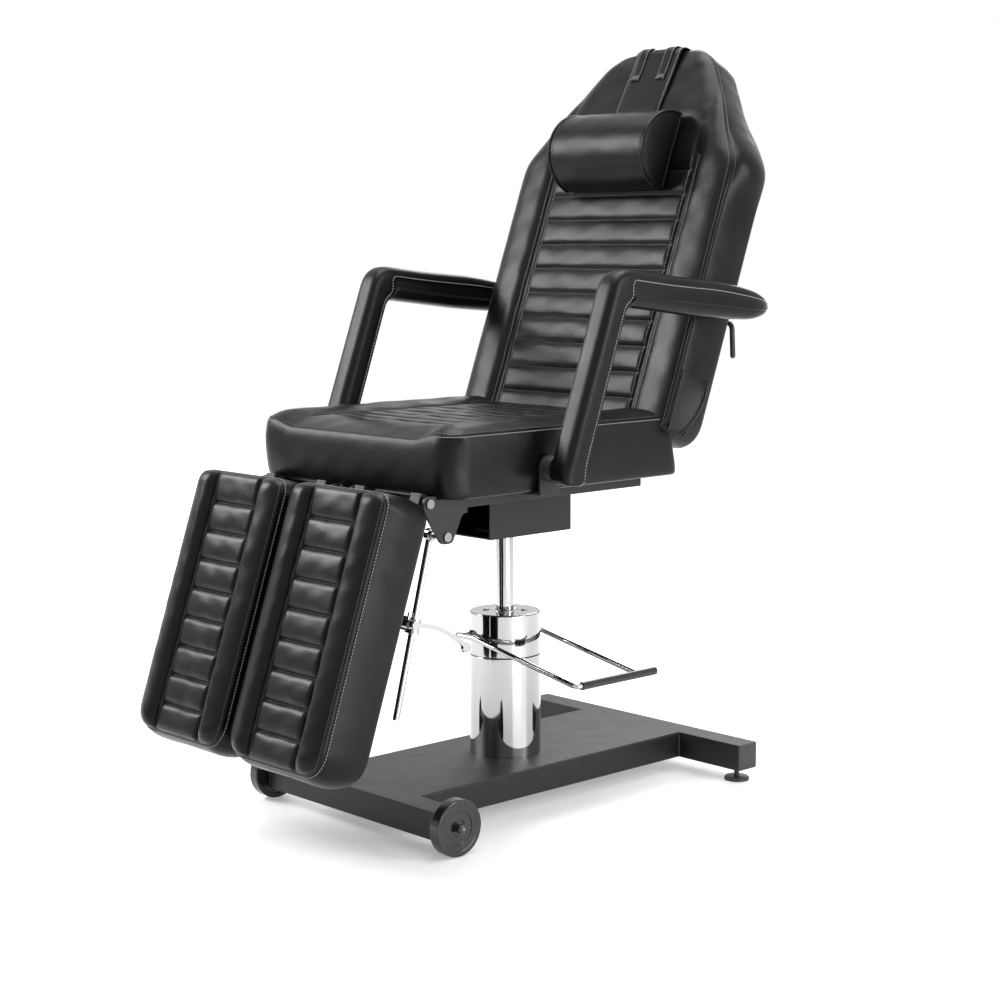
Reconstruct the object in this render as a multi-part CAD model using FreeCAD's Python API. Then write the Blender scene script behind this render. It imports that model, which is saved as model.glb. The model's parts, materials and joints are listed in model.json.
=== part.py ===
import FreeCAD, Part
import math
import os

V = FreeCAD.Vector
os.makedirs("parts", exist_ok=True)

# Tattoo chair on a hydraulic column. Millimetres, +Z up, the sitter faces -Y, +X is the sitter's left.
# The origin is on the floor under the middle of the whole chair.

# Place of the lift column, and the clearances that the fits share
column_y = 74.1
running_gap = 0.05
slide_gap = 0.4
side_gap = 1.0
soft_gap = 0.5
overrun = 5.0

# Base frame of square steel tube
tube_side = 50.0
tube_wall = 2.5
wheel_radius = 50.0
front_bar_length = 480.0
rear_bar_length = 576.0
front_bar_setback = 356.0
rear_bar_setback = 369.0
base_width = 269.0
base_rail_width = 40.0
base_plate_thickness = 3.0
end_cap_flange = 2.5
end_cap_plug = 18.0
end_cap_radius = 3.0

# Transport wheels on the front bar
wheel_width = 22.0
wheel_gap = 4.0
wheel_web = 10.0
wheel_rim_radius = 37.0
wheel_hub_radius = 15.0
wheel_edge = 4.0
axle_radius = 6.0
axle_anchor = 24.0
axle_shoulder = 9.0
nut_radius = 9.0
nut_length = 6.0
nut_dome_radius = 6.5

# Levelling feet on the rear bar
foot_radius = 24.0
foot_height = 7.0
foot_edge = 2.0
foot_inset = 25.0
stem_radius = 5.0
stem_rise = 14.0
lock_nut_radius = 8.5
lock_nut_height = 5.0

# Hydraulic pump
pump_radius = 67.5
pump_wall = 2.0
pump_cover_height = 190.0
pump_cap_height = 82.0
pump_cap_edge = 3.0
flange_radius = 60.0
flange_thickness = 8.0
barrel_radius = 35.0
barrel_bore = 24.0
barrel_height = 262.0
bush_length = 40.0
cap_screw_radius = 3.0
cap_screw_head = 3.0
cap_screw_circle = 36.0
cap_screw_count = 4

# Foot pedal loop, its shaft through the pump cap, and the pump plunger that it presses
pedal_rod_radius = 5.0
pedal_shaft_offset = 53.0
pedal_shaft_height = 302.0
pedal_half_span = 80.0
pedal_knee_reach = 56.0
pedal_reach = 325.0
pedal_drop = 49.0
pedal_bend = 12.0
pedal_knee_bend = 60.0
grip_radius = 7.5
grip_overhang = 36.0
cam_radius = 7.0
cam_width = 22.0
cam_reach = 9.0
cam_toe_radius = 7.0
plunger_radius = 8.0
plunger_stroke_room = 8.0
plunger_barrel_radius = 15.0
plunger_barrel_height = 150.0

# Lift ram and the swivel hub that sits on it
ram_radius = 17.0
ram_box_reach = 42.0
ram_engaged = 102.0
piston_length = 20.0
hub_collar_radius = 25.0
hub_collar_drop = 10.0
hub_radius = 32.0
hub_plate_thickness = 6.0
hub_plate_half = 55.0

# Box under the seat
box_depth = 93.0
box_half_width = 73.0
box_half_length = 103.0
box_wall = 3.0

# Seat frame, board and cushion
seat_rail_bottom = 591.0
seat_rail_height = 20.0
seat_rail_width = 30.0
seat_rail_inset = 44.0
seat_rail_front = 350.0
seat_rail_rear = 135.0
seat_tube_wall = 2.0
cross_member_width = 30.0
board_thickness = 15.0
board_inset = 12.0
seat_half_width = 268.0
seat_front = 370.0
seat_rear_bottom = 190.0
seat_rear_top = 165.0
seat_thickness = 107.0
seat_corner_radius = 70.0
seat_rear_corner_radius = 25.0
seat_side_bulge = 5.0
seat_crown = 16.0
seat_crown_inset = 34.0
channel_radius = 5.0
channel_depth = 2.6
seat_bolster_width = 90.0
seat_channel_pitch = 47.0
seat_channel_start = 270.0
seat_channel_count = 8

# Leg rest hinges and brackets
leg_lean = 18.9
leg_hinge_y = 384.0
leg_hinge_rise = 14.0
bracket_plate = 6.0
strut_pin_y = 346.0
strut_pin_drop = 59.5
bracket_rear = 300.0
bracket_lobe = 12.0
bracket_ear_bend = 4.0
bracket_step = 22.0
hinge_pin_radius = 6.0
rivet_head_radius = 8.0
rivet_head_height = 3.0
inner_bracket_x = 30.0

# Leg rest frame, its slide and pad
leg_tube_side = 25.0
leg_tube_wall = 2.0
leg_tube_end = 14.0
leg_tube_length = 340.0
leg_frame_gap = 8.0
leg_inner_tube_x = 54.0
leg_slide_overlap = 290.0
leg_slide_reach = 14.0
leg_slide_bar = 12.0
leg_slide_plate = 3.0
leg_slide_plate_top = 60.0
leg_pad_back = 22.7
leg_pad_thickness = 105.0
leg_board_thickness = 12.0
leg_pad_top = 6.7
leg_pad_length = 470.0
leg_pad_inner = 12.0
leg_pad_inset = 12.0
leg_pad_corner = 38.0
leg_pad_bulge = 4.0
leg_pad_crown = 14.0
leg_pad_crown_inset = 24.0
leg_strip_inset = 62.0
leg_channel_count = 8
leg_channel_margin = 62.0

# Leg rest strut: a chrome rod that slides through a clamp with a quick lever
strut_rod_inset = 17.5
strut_rod_radius = 6.0
strut_rod_length = 320.0
strut_slope = 14.55
strut_eye_radius = 11.0
strut_eye_width = 10.0
clamp_distance = 156.0
clamp_radius = 12.0
clamp_length = 24.0
clamp_ear_reach = 14.0
clamp_ear_width = 16.0
clamp_flange_radius = 13.5
clamp_flange_thickness = 3.0
clamp_post_radius = 2.5
clamp_post_height = 20.0
trunnion_radius = 5.0
clamp_plate_inset = 20.0
lever_reach = 118.0
lever_drop = 55.0
lever_width = 7.0
lever_thickness = 9.0
lever_tip_radius = 9.0
lever_hub_radius = 8.0
lever_arch = 12.0

# Backrest: angle, hinge, cushion, board, pocket and frame
back_lean = 20.6
back_front_y = 146.0
back_hinge_y = 212.0
back_hinge_rise = 39.0
back_overhang = 11.0
back_foot_inset = 17.0
back_foot = 50.0
back_foot_corner = 60.0
back_shoulder = 490.0
back_top = 736.0
back_top_inset = 163.0
back_shoulder_radius = 60.0
back_top_radius = 42.0
back_thickness = 104.0
back_board_thickness = 12.0
back_board_inset = 8.0
back_bulge = 4.0
back_crown = 14.0
back_crown_inset = 26.0
back_seat_gap = 7.0
back_bolster_width = 100.0
back_channel_start = 20.0
back_channel_pitch = 50.5
back_channel_count = 11
pocket_thickness = 3.0
pocket_top = 82.0
pocket_bottom = 30.0
pocket_mouth_top = 74.0
pocket_mouth_bottom = 42.0
pocket_front = 8.0
back_tube_side = 25.0
back_upright_x = 75.0
back_upright_start = 15.0
back_upright_end = 600.0
back_bar_high = 560.0
ear_x = 60.0
ear_thickness = 6.0
ear_radius = 13.0
hinge_knuckle_radius = 12.0
back_pin_radius = 6.0

# Recline strut on the centre line, and the recline lever
strut_low_y = 175.0
strut_low_drop = 65.0
strut_high_up = 30.0
strut_high_out = 150.0
gas_tube_radius = 11.0
gas_tube_length = 100.0
gas_neck_radius = 6.0
gas_neck_length = 13.0
gas_rod_radius = 5.0
gas_eye_radius = 9.0
gas_eye_width = 12.0
gas_pin_radius = 4.0
lug_thickness = 5.0
lug_radius = 10.0
lever_shaft_radius = 5.0
lever_shaft_up = 215.0
lever_shaft_out = 141.0
lever_shaft_inner = 95.0
lever_shaft_inset = 27.0
lever_arm_up = 158.0
lever_arm_out = 166.0
lever_arm_bend = 12.0
lever_block_half = 9.0

# Head pillow on its strap
pillow_half_length = 125.0
pillow_height = 158.0
pillow_depth = 85.0
pillow_middle = 505.0
pillow_lip = 12.0
strap_half_width = 57.0
strap_thickness = 2.0
strap_front_end = 450.0
strap_rear_end = 620.0
strap_front_bend = 24.0
strap_rear_bend = 4.0

# Arm rests
arm_back_gap = 20.0
arm_width = 50.0
arm_hub_y = 152.0
arm_hub_rise = 24.0
arm_foot_radius = 25.0
arm_front_corner_y = 53.0
arm_front_corner_rise = 342.0
arm_top_rear_y = 305.0
arm_top_rear_rise = 300.0
arm_tip_y = 362.0
arm_tip_rise = 268.0
arm_under_rear_y = 290.0
arm_under_rear_rise = 243.0
arm_inner_corner_y = 27.0
arm_inner_corner_rise = 277.0
arm_outer_bend = 52.0
arm_inner_bend = 14.0
arm_tip_radius = 9.0
arm_edge_radius = 12.0
arm_core_width = 20.0
arm_core_inset = 14.0
arm_boss_radius = 15.0
arm_pin_radius = 8.0
arm_hub_radius = 23.0
arm_bracket_thickness = 6.0
arm_bracket_width = 46.0
arm_bracket_gap = 5.0

# Heights and places that follow
bar_bottom = wheel_radius - tube_side / 2
bar_top = wheel_radius + tube_side / 2
front_bar_y = column_y - front_bar_setback
rear_bar_y = column_y + rear_bar_setback
pump_base = bar_top
cap_base = pump_base + pump_cover_height
pump_top = cap_base + pump_cap_height
seat_rail_top = seat_rail_bottom + seat_rail_height
seat_base = seat_rail_top + board_thickness
seat_top = seat_base + seat_thickness
box_bottom = seat_rail_bottom - box_depth
ram_top = box_bottom + ram_box_reach
leg_hinge_z = seat_rail_bottom + leg_hinge_rise
strut_pin_z = leg_hinge_z - strut_pin_drop
back_hinge_z = seat_rail_bottom + back_hinge_rise
strut_low_z = back_hinge_z - strut_low_drop
arm_hub_z = seat_base + arm_hub_rise
leg_hinge = V(0, column_y - leg_hinge_y, leg_hinge_z)
back_reference = V(0, column_y + back_front_y, seat_top)
back_hinge = V(0, column_y + back_hinge_y, back_hinge_z)

# Widths that follow from the seat's
seat_rail_outer = seat_half_width - seat_rail_inset
seat_channel_half = seat_half_width - seat_bolster_width
leg_outer_tube_x = seat_rail_outer - leg_frame_gap - leg_tube_side / 2
leg_pad_outer = seat_half_width - leg_pad_inset
strut_rod_x = leg_outer_tube_x - strut_rod_inset
clamp_plate_x = strut_rod_x - clamp_plate_inset
back_half_width = seat_half_width + back_overhang
back_foot_half_width = back_half_width - back_foot_inset
back_top_half_width = back_half_width - back_top_inset
back_panel_half = back_half_width - back_bolster_width
lever_shaft_outer = back_half_width - lever_shaft_inset
arm_inner = back_half_width + arm_back_gap


# Exact helpers: every shape is made in its own frame and then placed
def save(shape, name):
    shape.exportStep("parts/" + name + ".step")


def box(x0, x1, y0, y1, z0, z1):
    return Part.makeBox(x1 - x0, y1 - y0, z1 - z0, V(x0, y0, z0))


def rod(start, end, radius):
    way = end - start
    return Part.makeCylinder(radius, way.Length, start, way)


def across(x0, x1, y, z, radius):
    return rod(V(x0, y, z), V(x1, y, z), radius)


def square_tube_x(length, y, z, height, depth, wall):
    outer = box(-length / 2, length / 2, y - depth / 2, y + depth / 2, z - height / 2, z + height / 2)
    inner = box(-length, length, y - depth / 2 + wall, y + depth / 2 - wall,
                z - height / 2 + wall, z + height / 2 - wall)
    return outer.cut(inner)


def square_tube_y(x0, x1, y0, y1, z0, z1, wall):
    outer = box(x0, x1, y0, y1, z0, z1)
    inner = box(x0 + wall, x1 - wall, y0 - overrun, y1 + overrun, z0 + wall, z1 - wall)
    return outer.cut(inner)


def rounded(points, radii, place):
    """Closed outline through the corner points, each corner an arc of its radius."""
    count = len(points)
    starts, middles, ends = [], [], []
    for i in range(count):
        corner = V(points[i][0], points[i][1], 0)
        before = V(points[i - 1][0], points[i - 1][1], 0) - corner
        after = V(points[(i + 1) % count][0], points[(i + 1) % count][1], 0) - corner
        before.normalize()
        after.normalize()
        half = before.getAngle(after) / 2
        reach = radii[i] / math.tan(half)
        bisector = before + after
        bisector.normalize()
        starts.append(corner + before * reach)
        ends.append(corner + after * reach)
        middles.append(corner + bisector * (radii[i] / math.sin(half) - radii[i]))
    edges = []
    for i in range(count):
        lay = [place(p.x, p.y) for p in (starts[i], middles[i], ends[i], starts[(i + 1) % count])]
        edges.append(Part.Arc(lay[0], lay[1], lay[2]).toShape())
        edges.append(Part.LineSegment(lay[2], lay[3]).toShape())
    return Part.Wire(edges)


def plate_x(points, radii, x0, thickness):
    """Flat plate of a side outline in Y and Z, standing from x0."""
    face = Part.Face(rounded(points, radii, lambda y, z: V(x0, y, z)))
    return face.extrude(V(thickness, 0, 0))


def bent_rod(points, bends, radius):
    """Round rod along straight runs joined by tangent arcs."""
    edges = []
    last = points[0]
    for i in range(1, len(points) - 1):
        before = points[i - 1] - points[i]
        after = points[i + 1] - points[i]
        before.normalize()
        after.normalize()
        half = before.getAngle(after) / 2
        reach = bends[i - 1] / math.tan(half)
        bisector = before + after
        bisector.normalize()
        begin = points[i] + before * reach
        middle = points[i] + bisector * (bends[i - 1] / math.sin(half) - bends[i - 1])
        end = points[i] + after * reach
        edges.append(Part.LineSegment(last, begin).toShape())
        edges.append(Part.Arc(begin, middle, end).toShape())
        last = end
    edges.append(Part.LineSegment(last, points[-1]).toShape())
    section = Part.Wire([Part.Circle(points[0], points[1] - points[0], radius).toShape()])
    return Part.Wire(edges).makePipeShell([section], True, False)


def mirrored(shape):
    return shape.mirror(V(0, 0, 0), V(1, 0, 0))


def both_sides(shape):
    return Part.makeCompound([shape, mirrored(shape)])


def lean_back(shape, angle, place):
    """Turn a shape made upright at the origin so that its top leans to the rear, then place it."""
    turned = shape.copy()
    turned.rotate(V(0, 0, 0), V(1, 0, 0), -angle)
    turned.translate(place)
    return turned


def leaned(y, z, angle, place):
    """Place of an upright point after the same lean."""
    turn = math.radians(angle)
    return V(0, place.y + y * math.cos(turn) + z * math.sin(turn),
             place.z - y * math.sin(turn) + z * math.cos(turn))


def channels(half_length, places, height):
    """Round cutters along X, one for each sewn channel."""
    return [across(-half_length, half_length, y, height + channel_radius - channel_depth, channel_radius)
            for y in places]


# Base frame
def base_frame():
    bar_z = wheel_radius
    front = square_tube_x(front_bar_length, front_bar_y, bar_z, tube_side, tube_side, tube_wall)
    rear = square_tube_x(rear_bar_length, rear_bar_y, bar_z, tube_side, tube_side, tube_wall)
    foot_x = rear_bar_length / 2 - foot_inset
    for side in (-1, 1):
        hole = rod(V(side * foot_x, rear_bar_y, bar_bottom - overrun),
                   V(side * foot_x, rear_bar_y, bar_bottom + tube_wall + overrun), stem_radius + running_gap)
        rear = rear.cut(hole)
    save(front, "front_crossbar")
    save(rear, "rear_crossbar")
    plate_z = bar_top - base_plate_thickness
    rail_y0 = front_bar_y + tube_side / 2
    rail_y1 = rear_bar_y - tube_side / 2
    rail = square_tube_y(base_width / 2 - base_rail_width, base_width / 2, rail_y0, rail_y1,
                         bar_bottom, plate_z, tube_wall)
    save(both_sides(rail), "base_side_rails")
    save(box(-base_width / 2, base_width / 2, rail_y0, rail_y1, plate_z, bar_top), "base_top_plate")


def end_cap(bar_length, bar_y, bore):
    """Moulded cap: a flange on the tube's end and a plug inside it."""
    end_x = bar_length / 2
    half = tube_side / 2
    plug = half - tube_wall - slide_gap
    outline = [(-half, -half), (half, -half), (half, half), (-half, half)]
    lay = [(bar_y + y, wheel_radius + z) for y, z in outline]
    flange = plate_x(lay, [end_cap_radius] * 4, end_x, end_cap_flange)
    cap = flange.fuse(box(end_x - end_cap_plug, end_x, bar_y - plug, bar_y + plug,
                          wheel_radius - plug, wheel_radius + plug))
    if bore:
        cap = cap.cut(across(end_x - end_cap_plug - overrun, end_x + end_cap_flange + overrun,
                             bar_y, wheel_radius, bore))
    return cap


def end_caps():
    front = end_cap(front_bar_length, front_bar_y, axle_radius + running_gap)
    rear = end_cap(rear_bar_length, rear_bar_y, 0)
    save(Part.makeCompound([front, mirrored(front), rear, mirrored(rear)]), "tube_end_caps")


# Wheels, axle bolts with acorn nuts
def wheel_profile(x0, x1):
    """Solid wheel: tread, dished web and hub, turned about its axle."""
    tread = across(x0, x1, front_bar_y, wheel_radius, wheel_radius)
    tread = tread.makeFillet(wheel_edge, [e for e in tread.Edges if e.Length > wheel_radius * math.pi
                                          and len(e.Vertexes) == 1])
    middle = (x0 + x1) / 2
    for a, b in ((x0 - overrun, middle - wheel_web / 2), (middle + wheel_web / 2, x1 + overrun)):
        dish = across(a, b, front_bar_y, wheel_radius, wheel_rim_radius)
        dish = dish.cut(across(a, b, front_bar_y, wheel_radius, wheel_hub_radius))
        tread = tread.cut(dish)
    return tread.cut(across(x0 - overrun, x1 + overrun, front_bar_y, wheel_radius, axle_radius + running_gap))


def wheels():
    bar_end = front_bar_length / 2 + end_cap_flange
    x0 = bar_end + wheel_gap
    x1 = x0 + wheel_width
    left = wheel_profile(x0, x1)
    save(left, "wheel_left")
    save(mirrored(left), "wheel_right")
    bolt = across(front_bar_length / 2 - axle_anchor, x1 + side_gap + nut_length, front_bar_y, wheel_radius,
                  axle_radius)
    shoulder = across(bar_end, x0 - slide_gap, front_bar_y, wheel_radius, axle_shoulder)
    save(both_sides(bolt.fuse(shoulder)), "axle_bolts")
    nut_x = x1 + slide_gap
    hexagon = [(front_bar_y + nut_radius * math.cos(math.radians(60 * i)),
                wheel_radius + nut_radius * math.sin(math.radians(60 * i))) for i in range(6)]
    nut = plate_x(hexagon, [running_gap] * 6, nut_x, nut_length)
    dome = Part.makeSphere(nut_dome_radius, V(nut_x + nut_length, front_bar_y, wheel_radius))
    nut = nut.fuse(dome.common(box(nut_x + nut_length, nut_x + nut_length + nut_dome_radius,
                                   front_bar_y - nut_radius, front_bar_y + nut_radius,
                                   wheel_radius - nut_radius, wheel_radius + nut_radius)))
    nut = nut.cut(across(nut_x - overrun, x1 + side_gap + nut_length, front_bar_y, wheel_radius, axle_radius))
    save(both_sides(nut), "axle_nuts")


# Levelling feet: pad and threaded stem, held by a lock nut under the bar
def feet():
    foot_x = rear_bar_length / 2 - foot_inset
    pad = rod(V(foot_x, rear_bar_y, 0), V(foot_x, rear_bar_y, foot_height), foot_radius)
    pad = pad.makeChamfer(foot_edge, [e for e in pad.Edges if len(e.Vertexes) == 1 and e.CenterOfMass.z > 0])
    stem = rod(V(foot_x, rear_bar_y, foot_height), V(foot_x, rear_bar_y, bar_bottom + stem_rise), stem_radius)
    foot = pad.fuse(stem)
    save(foot, "foot_left")
    save(mirrored(foot), "foot_right")
    top = bar_bottom
    hexagon = [(foot_x + lock_nut_radius * math.cos(math.radians(60 * i)),
                rear_bar_y + lock_nut_radius * math.sin(math.radians(60 * i))) for i in range(6)]
    face = Part.Face(rounded(hexagon, [running_gap] * 6, lambda x, y: V(x, y, top - lock_nut_height)))
    nut = face.extrude(V(0, 0, lock_nut_height))
    nut = nut.cut(rod(V(foot_x, rear_bar_y, 0), V(foot_x, rear_bar_y, top + overrun), stem_radius + running_gap))
    save(both_sides(nut), "foot_lock_nuts")


# Pump: barrel on its flange, chrome cover and cap, guide bush, screws
def column(z0, z1, radius):
    return rod(V(0, column_y, z0), V(0, column_y, z1), radius)


def pump():
    barrel = column(pump_base, pump_base + flange_thickness, flange_radius)
    barrel_top = pump_base + barrel_height
    barrel = barrel.fuse(column(pump_base + flange_thickness, barrel_top, barrel_radius))
    barrel = barrel.cut(column(pump_base + flange_thickness, barrel_top + overrun, barrel_bore))
    plunger_top = pump_base + flange_thickness + plunger_barrel_height
    side = V(-pedal_shaft_offset + cam_reach, column_y, 0)
    low = V(side.x, side.y, pump_base + flange_thickness)
    high = V(side.x, side.y, plunger_top)
    small = rod(low, high, plunger_barrel_radius)
    small = small.cut(column(pump_base, pump_top, barrel_bore))
    barrel = barrel.fuse(small)
    barrel = barrel.cut(rod(low, high + V(0, 0, overrun), plunger_radius + running_gap))
    save(barrel, "pump_barrel")
    cover = column(pump_base, cap_base, pump_radius)
    cover = cover.cut(column(pump_base - overrun, cap_base + overrun, pump_radius - pump_wall))
    save(cover, "pump_cover")
    cap = column(cap_base, pump_top, pump_radius)
    cap = cap.makeFillet(pump_cap_edge, [e for e in cap.Edges if len(e.Vertexes) == 1
                                         and e.CenterOfMass.z > pump_top - pump_cap_edge])
    cap = cap.cut(column(cap_base - overrun, pump_top - pump_wall * 2, pump_radius - pump_wall))
    cap = cap.cut(column(cap_base, pump_top + overrun, ram_radius + side_gap))
    shaft = rod(V(-pedal_shaft_offset, column_y - pump_radius * 2, pedal_shaft_height),
                V(-pedal_shaft_offset, column_y + pump_radius * 2, pedal_shaft_height),
                pedal_rod_radius + running_gap)
    cap = cap.cut(shaft)
    screws = []
    for i in range(cap_screw_count):
        turn = math.radians(360 * (i + 1 / 2) / cap_screw_count)
        at = V(cap_screw_circle * math.cos(turn), column_y + cap_screw_circle * math.sin(turn), pump_top)
        shank = rod(at - V(0, 0, pump_wall * 2), at, cap_screw_radius)
        screws.append(shank.fuse(rod(at, at + V(0, 0, cap_screw_head / 2), cap_screw_radius * 2)))
        cap = cap.cut(rod(at - V(0, 0, pump_wall * 4), at + V(0, 0, overrun), cap_screw_radius + running_gap))
    save(cap, "pump_cap")
    save(Part.makeCompound(screws), "pump_cap_screws")
    bush = column(barrel_top - bush_length, barrel_top, barrel_bore)
    bush = bush.cut(column(pump_base, pump_top, ram_radius + running_gap))
    save(bush, "guide_bush")
    save(rod(low + V(0, 0, plunger_stroke_room), V(side.x, side.y, pedal_shaft_height - cam_toe_radius - slide_gap),
             plunger_radius), "pump_plunger")


# Pedal: one bent rod, its shaft through the cap, a rear arm welded to the tread bar, and the grip on the bar
def pedal():
    z0 = pedal_shaft_height
    x0 = -pedal_shaft_offset
    x1 = x0 + pedal_knee_reach
    x2 = x0 + pedal_reach
    z2 = z0 - pedal_drop
    front = column_y - pedal_half_span
    rear = column_y + pedal_half_span
    bar_end = rear + grip_overhang
    loop = bent_rod([V(x0, column_y, z0), V(x0, front, z0), V(x1, front, z0), V(x2, front, z2),
                     V(x2, bar_end, z2)],
                    [pedal_bend, pedal_knee_bend, pedal_bend], pedal_rod_radius)
    knee = V(x1, rear, z0)
    weld = V(x2, rear, z2)
    way = weld - knee
    way.normalize()
    arm = bent_rod([V(x0, column_y, z0), V(x0, rear, z0), knee, weld - way * (pedal_rod_radius / 2)],
                   [pedal_bend, pedal_knee_bend], pedal_rod_radius)
    loop = loop.fuse(arm)
    cam = rod(V(x0, column_y - cam_width / 2, z0), V(x0, column_y + cam_width / 2, z0), cam_radius)
    nose = rod(V(x0, column_y, z0), V(x0 + cam_reach, column_y, z0), cam_toe_radius)
    toe = rod(V(x0 + cam_reach, column_y - plunger_radius, z0),
              V(x0 + cam_reach, column_y + plunger_radius, z0), cam_toe_radius)
    save(loop.fuse(cam).fuse(nose).fuse(toe).removeSplitter(), "pedal_loop")
    grip_start = front + pedal_bend
    grip = rod(V(x2, grip_start, z2), V(x2, bar_end + grip_radius, z2), grip_radius)
    grip = grip.cut(rod(V(x2, grip_start - overrun, z2), V(x2, bar_end, z2), pedal_rod_radius))
    grip = grip.cut(rod(knee, weld, pedal_rod_radius + running_gap))
    save(grip, "pedal_grip")


# Ram with its piston, and the swivel hub
def ram_and_hub():
    ram_bottom = pump_top - ram_engaged
    ram = column(ram_bottom, ram_top, ram_radius)
    ram = ram.fuse(column(ram_bottom - piston_length, ram_bottom, barrel_bore - running_gap))
    save(ram, "lift_ram")
    hub = column(box_bottom - hub_collar_drop, box_bottom, hub_collar_radius)
    hub = hub.fuse(column(box_bottom, ram_top + hub_plate_thickness * 2, hub_radius - box_wall))
    plate_z = box_bottom + box_wall
    hub = hub.fuse(box(-hub_plate_half, hub_plate_half, column_y - hub_plate_half, column_y + hub_plate_half,
                       plate_z, plate_z + hub_plate_thickness))
    hub = hub.cut(column(0, ram_top + running_gap, ram_radius + running_gap))
    save(hub, "swivel_hub")


# Seat frame: box, rails, cross members, board
def seat_frame():
    y0 = column_y - box_half_length
    y1 = column_y + box_half_length
    shell = box(-box_half_width, box_half_width, y0, y1, box_bottom, seat_rail_bottom)
    inner = box(-box_half_width + box_wall, box_half_width - box_wall, y0 - overrun, y1 - box_wall,
                box_bottom + box_wall, seat_rail_bottom - box_wall)
    shell = shell.cut(inner)
    shell = shell.cut(column(box_bottom - overrun, box_bottom + box_wall + overrun, hub_radius - box_wall))
    save(shell, "under_seat_box")
    rail = square_tube_y(seat_rail_outer - seat_rail_width, seat_rail_outer, column_y - seat_rail_front,
                         column_y + seat_rail_rear, seat_rail_bottom, seat_rail_top, seat_tube_wall)
    save(both_sides(rail), "seat_rails")
    span = 2 * (seat_rail_outer - seat_rail_width)
    middle_z = (seat_rail_bottom + seat_rail_top) / 2
    reach = box_half_length - cross_member_width / 2
    places = [column_y - seat_rail_front + cross_member_width / 2, column_y - reach, column_y + reach - lug_radius,
              column_y + seat_rail_rear - cross_member_width / 2]
    members = [square_tube_x(span, y, middle_z, seat_rail_height, cross_member_width, seat_tube_wall)
               for y in places]
    save(Part.makeCompound(members), "seat_cross_members")
    board = plan_solid(board_inset, seat_rear_bottom - board_inset, seat_rail_top, board_thickness)
    save(board, "seat_board")


def plan_points(inset, rear):
    """Seat outline from above, drawn in by an inset."""
    half = seat_half_width - inset
    front = column_y - seat_front + inset
    return [(-half, front), (half, front), (half, column_y + rear), (-half, column_y + rear)]


def plan_radii(inset):
    front = seat_corner_radius - inset / 2
    return [front, front, seat_rear_corner_radius, seat_rear_corner_radius]


def plan_solid(inset, rear, z, thickness):
    face = Part.Face(rounded(plan_points(inset, rear), plan_radii(inset), lambda x, y: V(x, y, z)))
    return face.extrude(V(0, 0, thickness))


def seat_cushion():
    """Crowned cushion: drawn-in sides, slanted rear face, sewn cross channels."""
    rise = seat_thickness - seat_crown
    slant = seat_rear_bottom - seat_rear_top
    levels = [(0, seat_side_bulge), (rise / 2, 0), (rise, seat_side_bulge),
              (rise + seat_crown * 3 / 4, seat_crown_inset / 2), (seat_thickness, seat_crown_inset * 3)]
    wires = []
    for height, inset in levels:
        rear = seat_rear_bottom - slant * height / seat_thickness - max(inset - seat_side_bulge, 0)
        wires.append(rounded(plan_points(inset, rear), plan_radii(inset),
                             lambda x, y, z=seat_base + height: V(x, y, z)))
    cushion = Part.makeLoft(wires, True, True)
    places = [column_y - seat_channel_start + seat_channel_pitch * i for i in range(seat_channel_count)]
    for cutter in channels(seat_channel_half, places, seat_top):
        cushion = cushion.cut(cutter)
    save(cushion, "seat_cushion")


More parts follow.
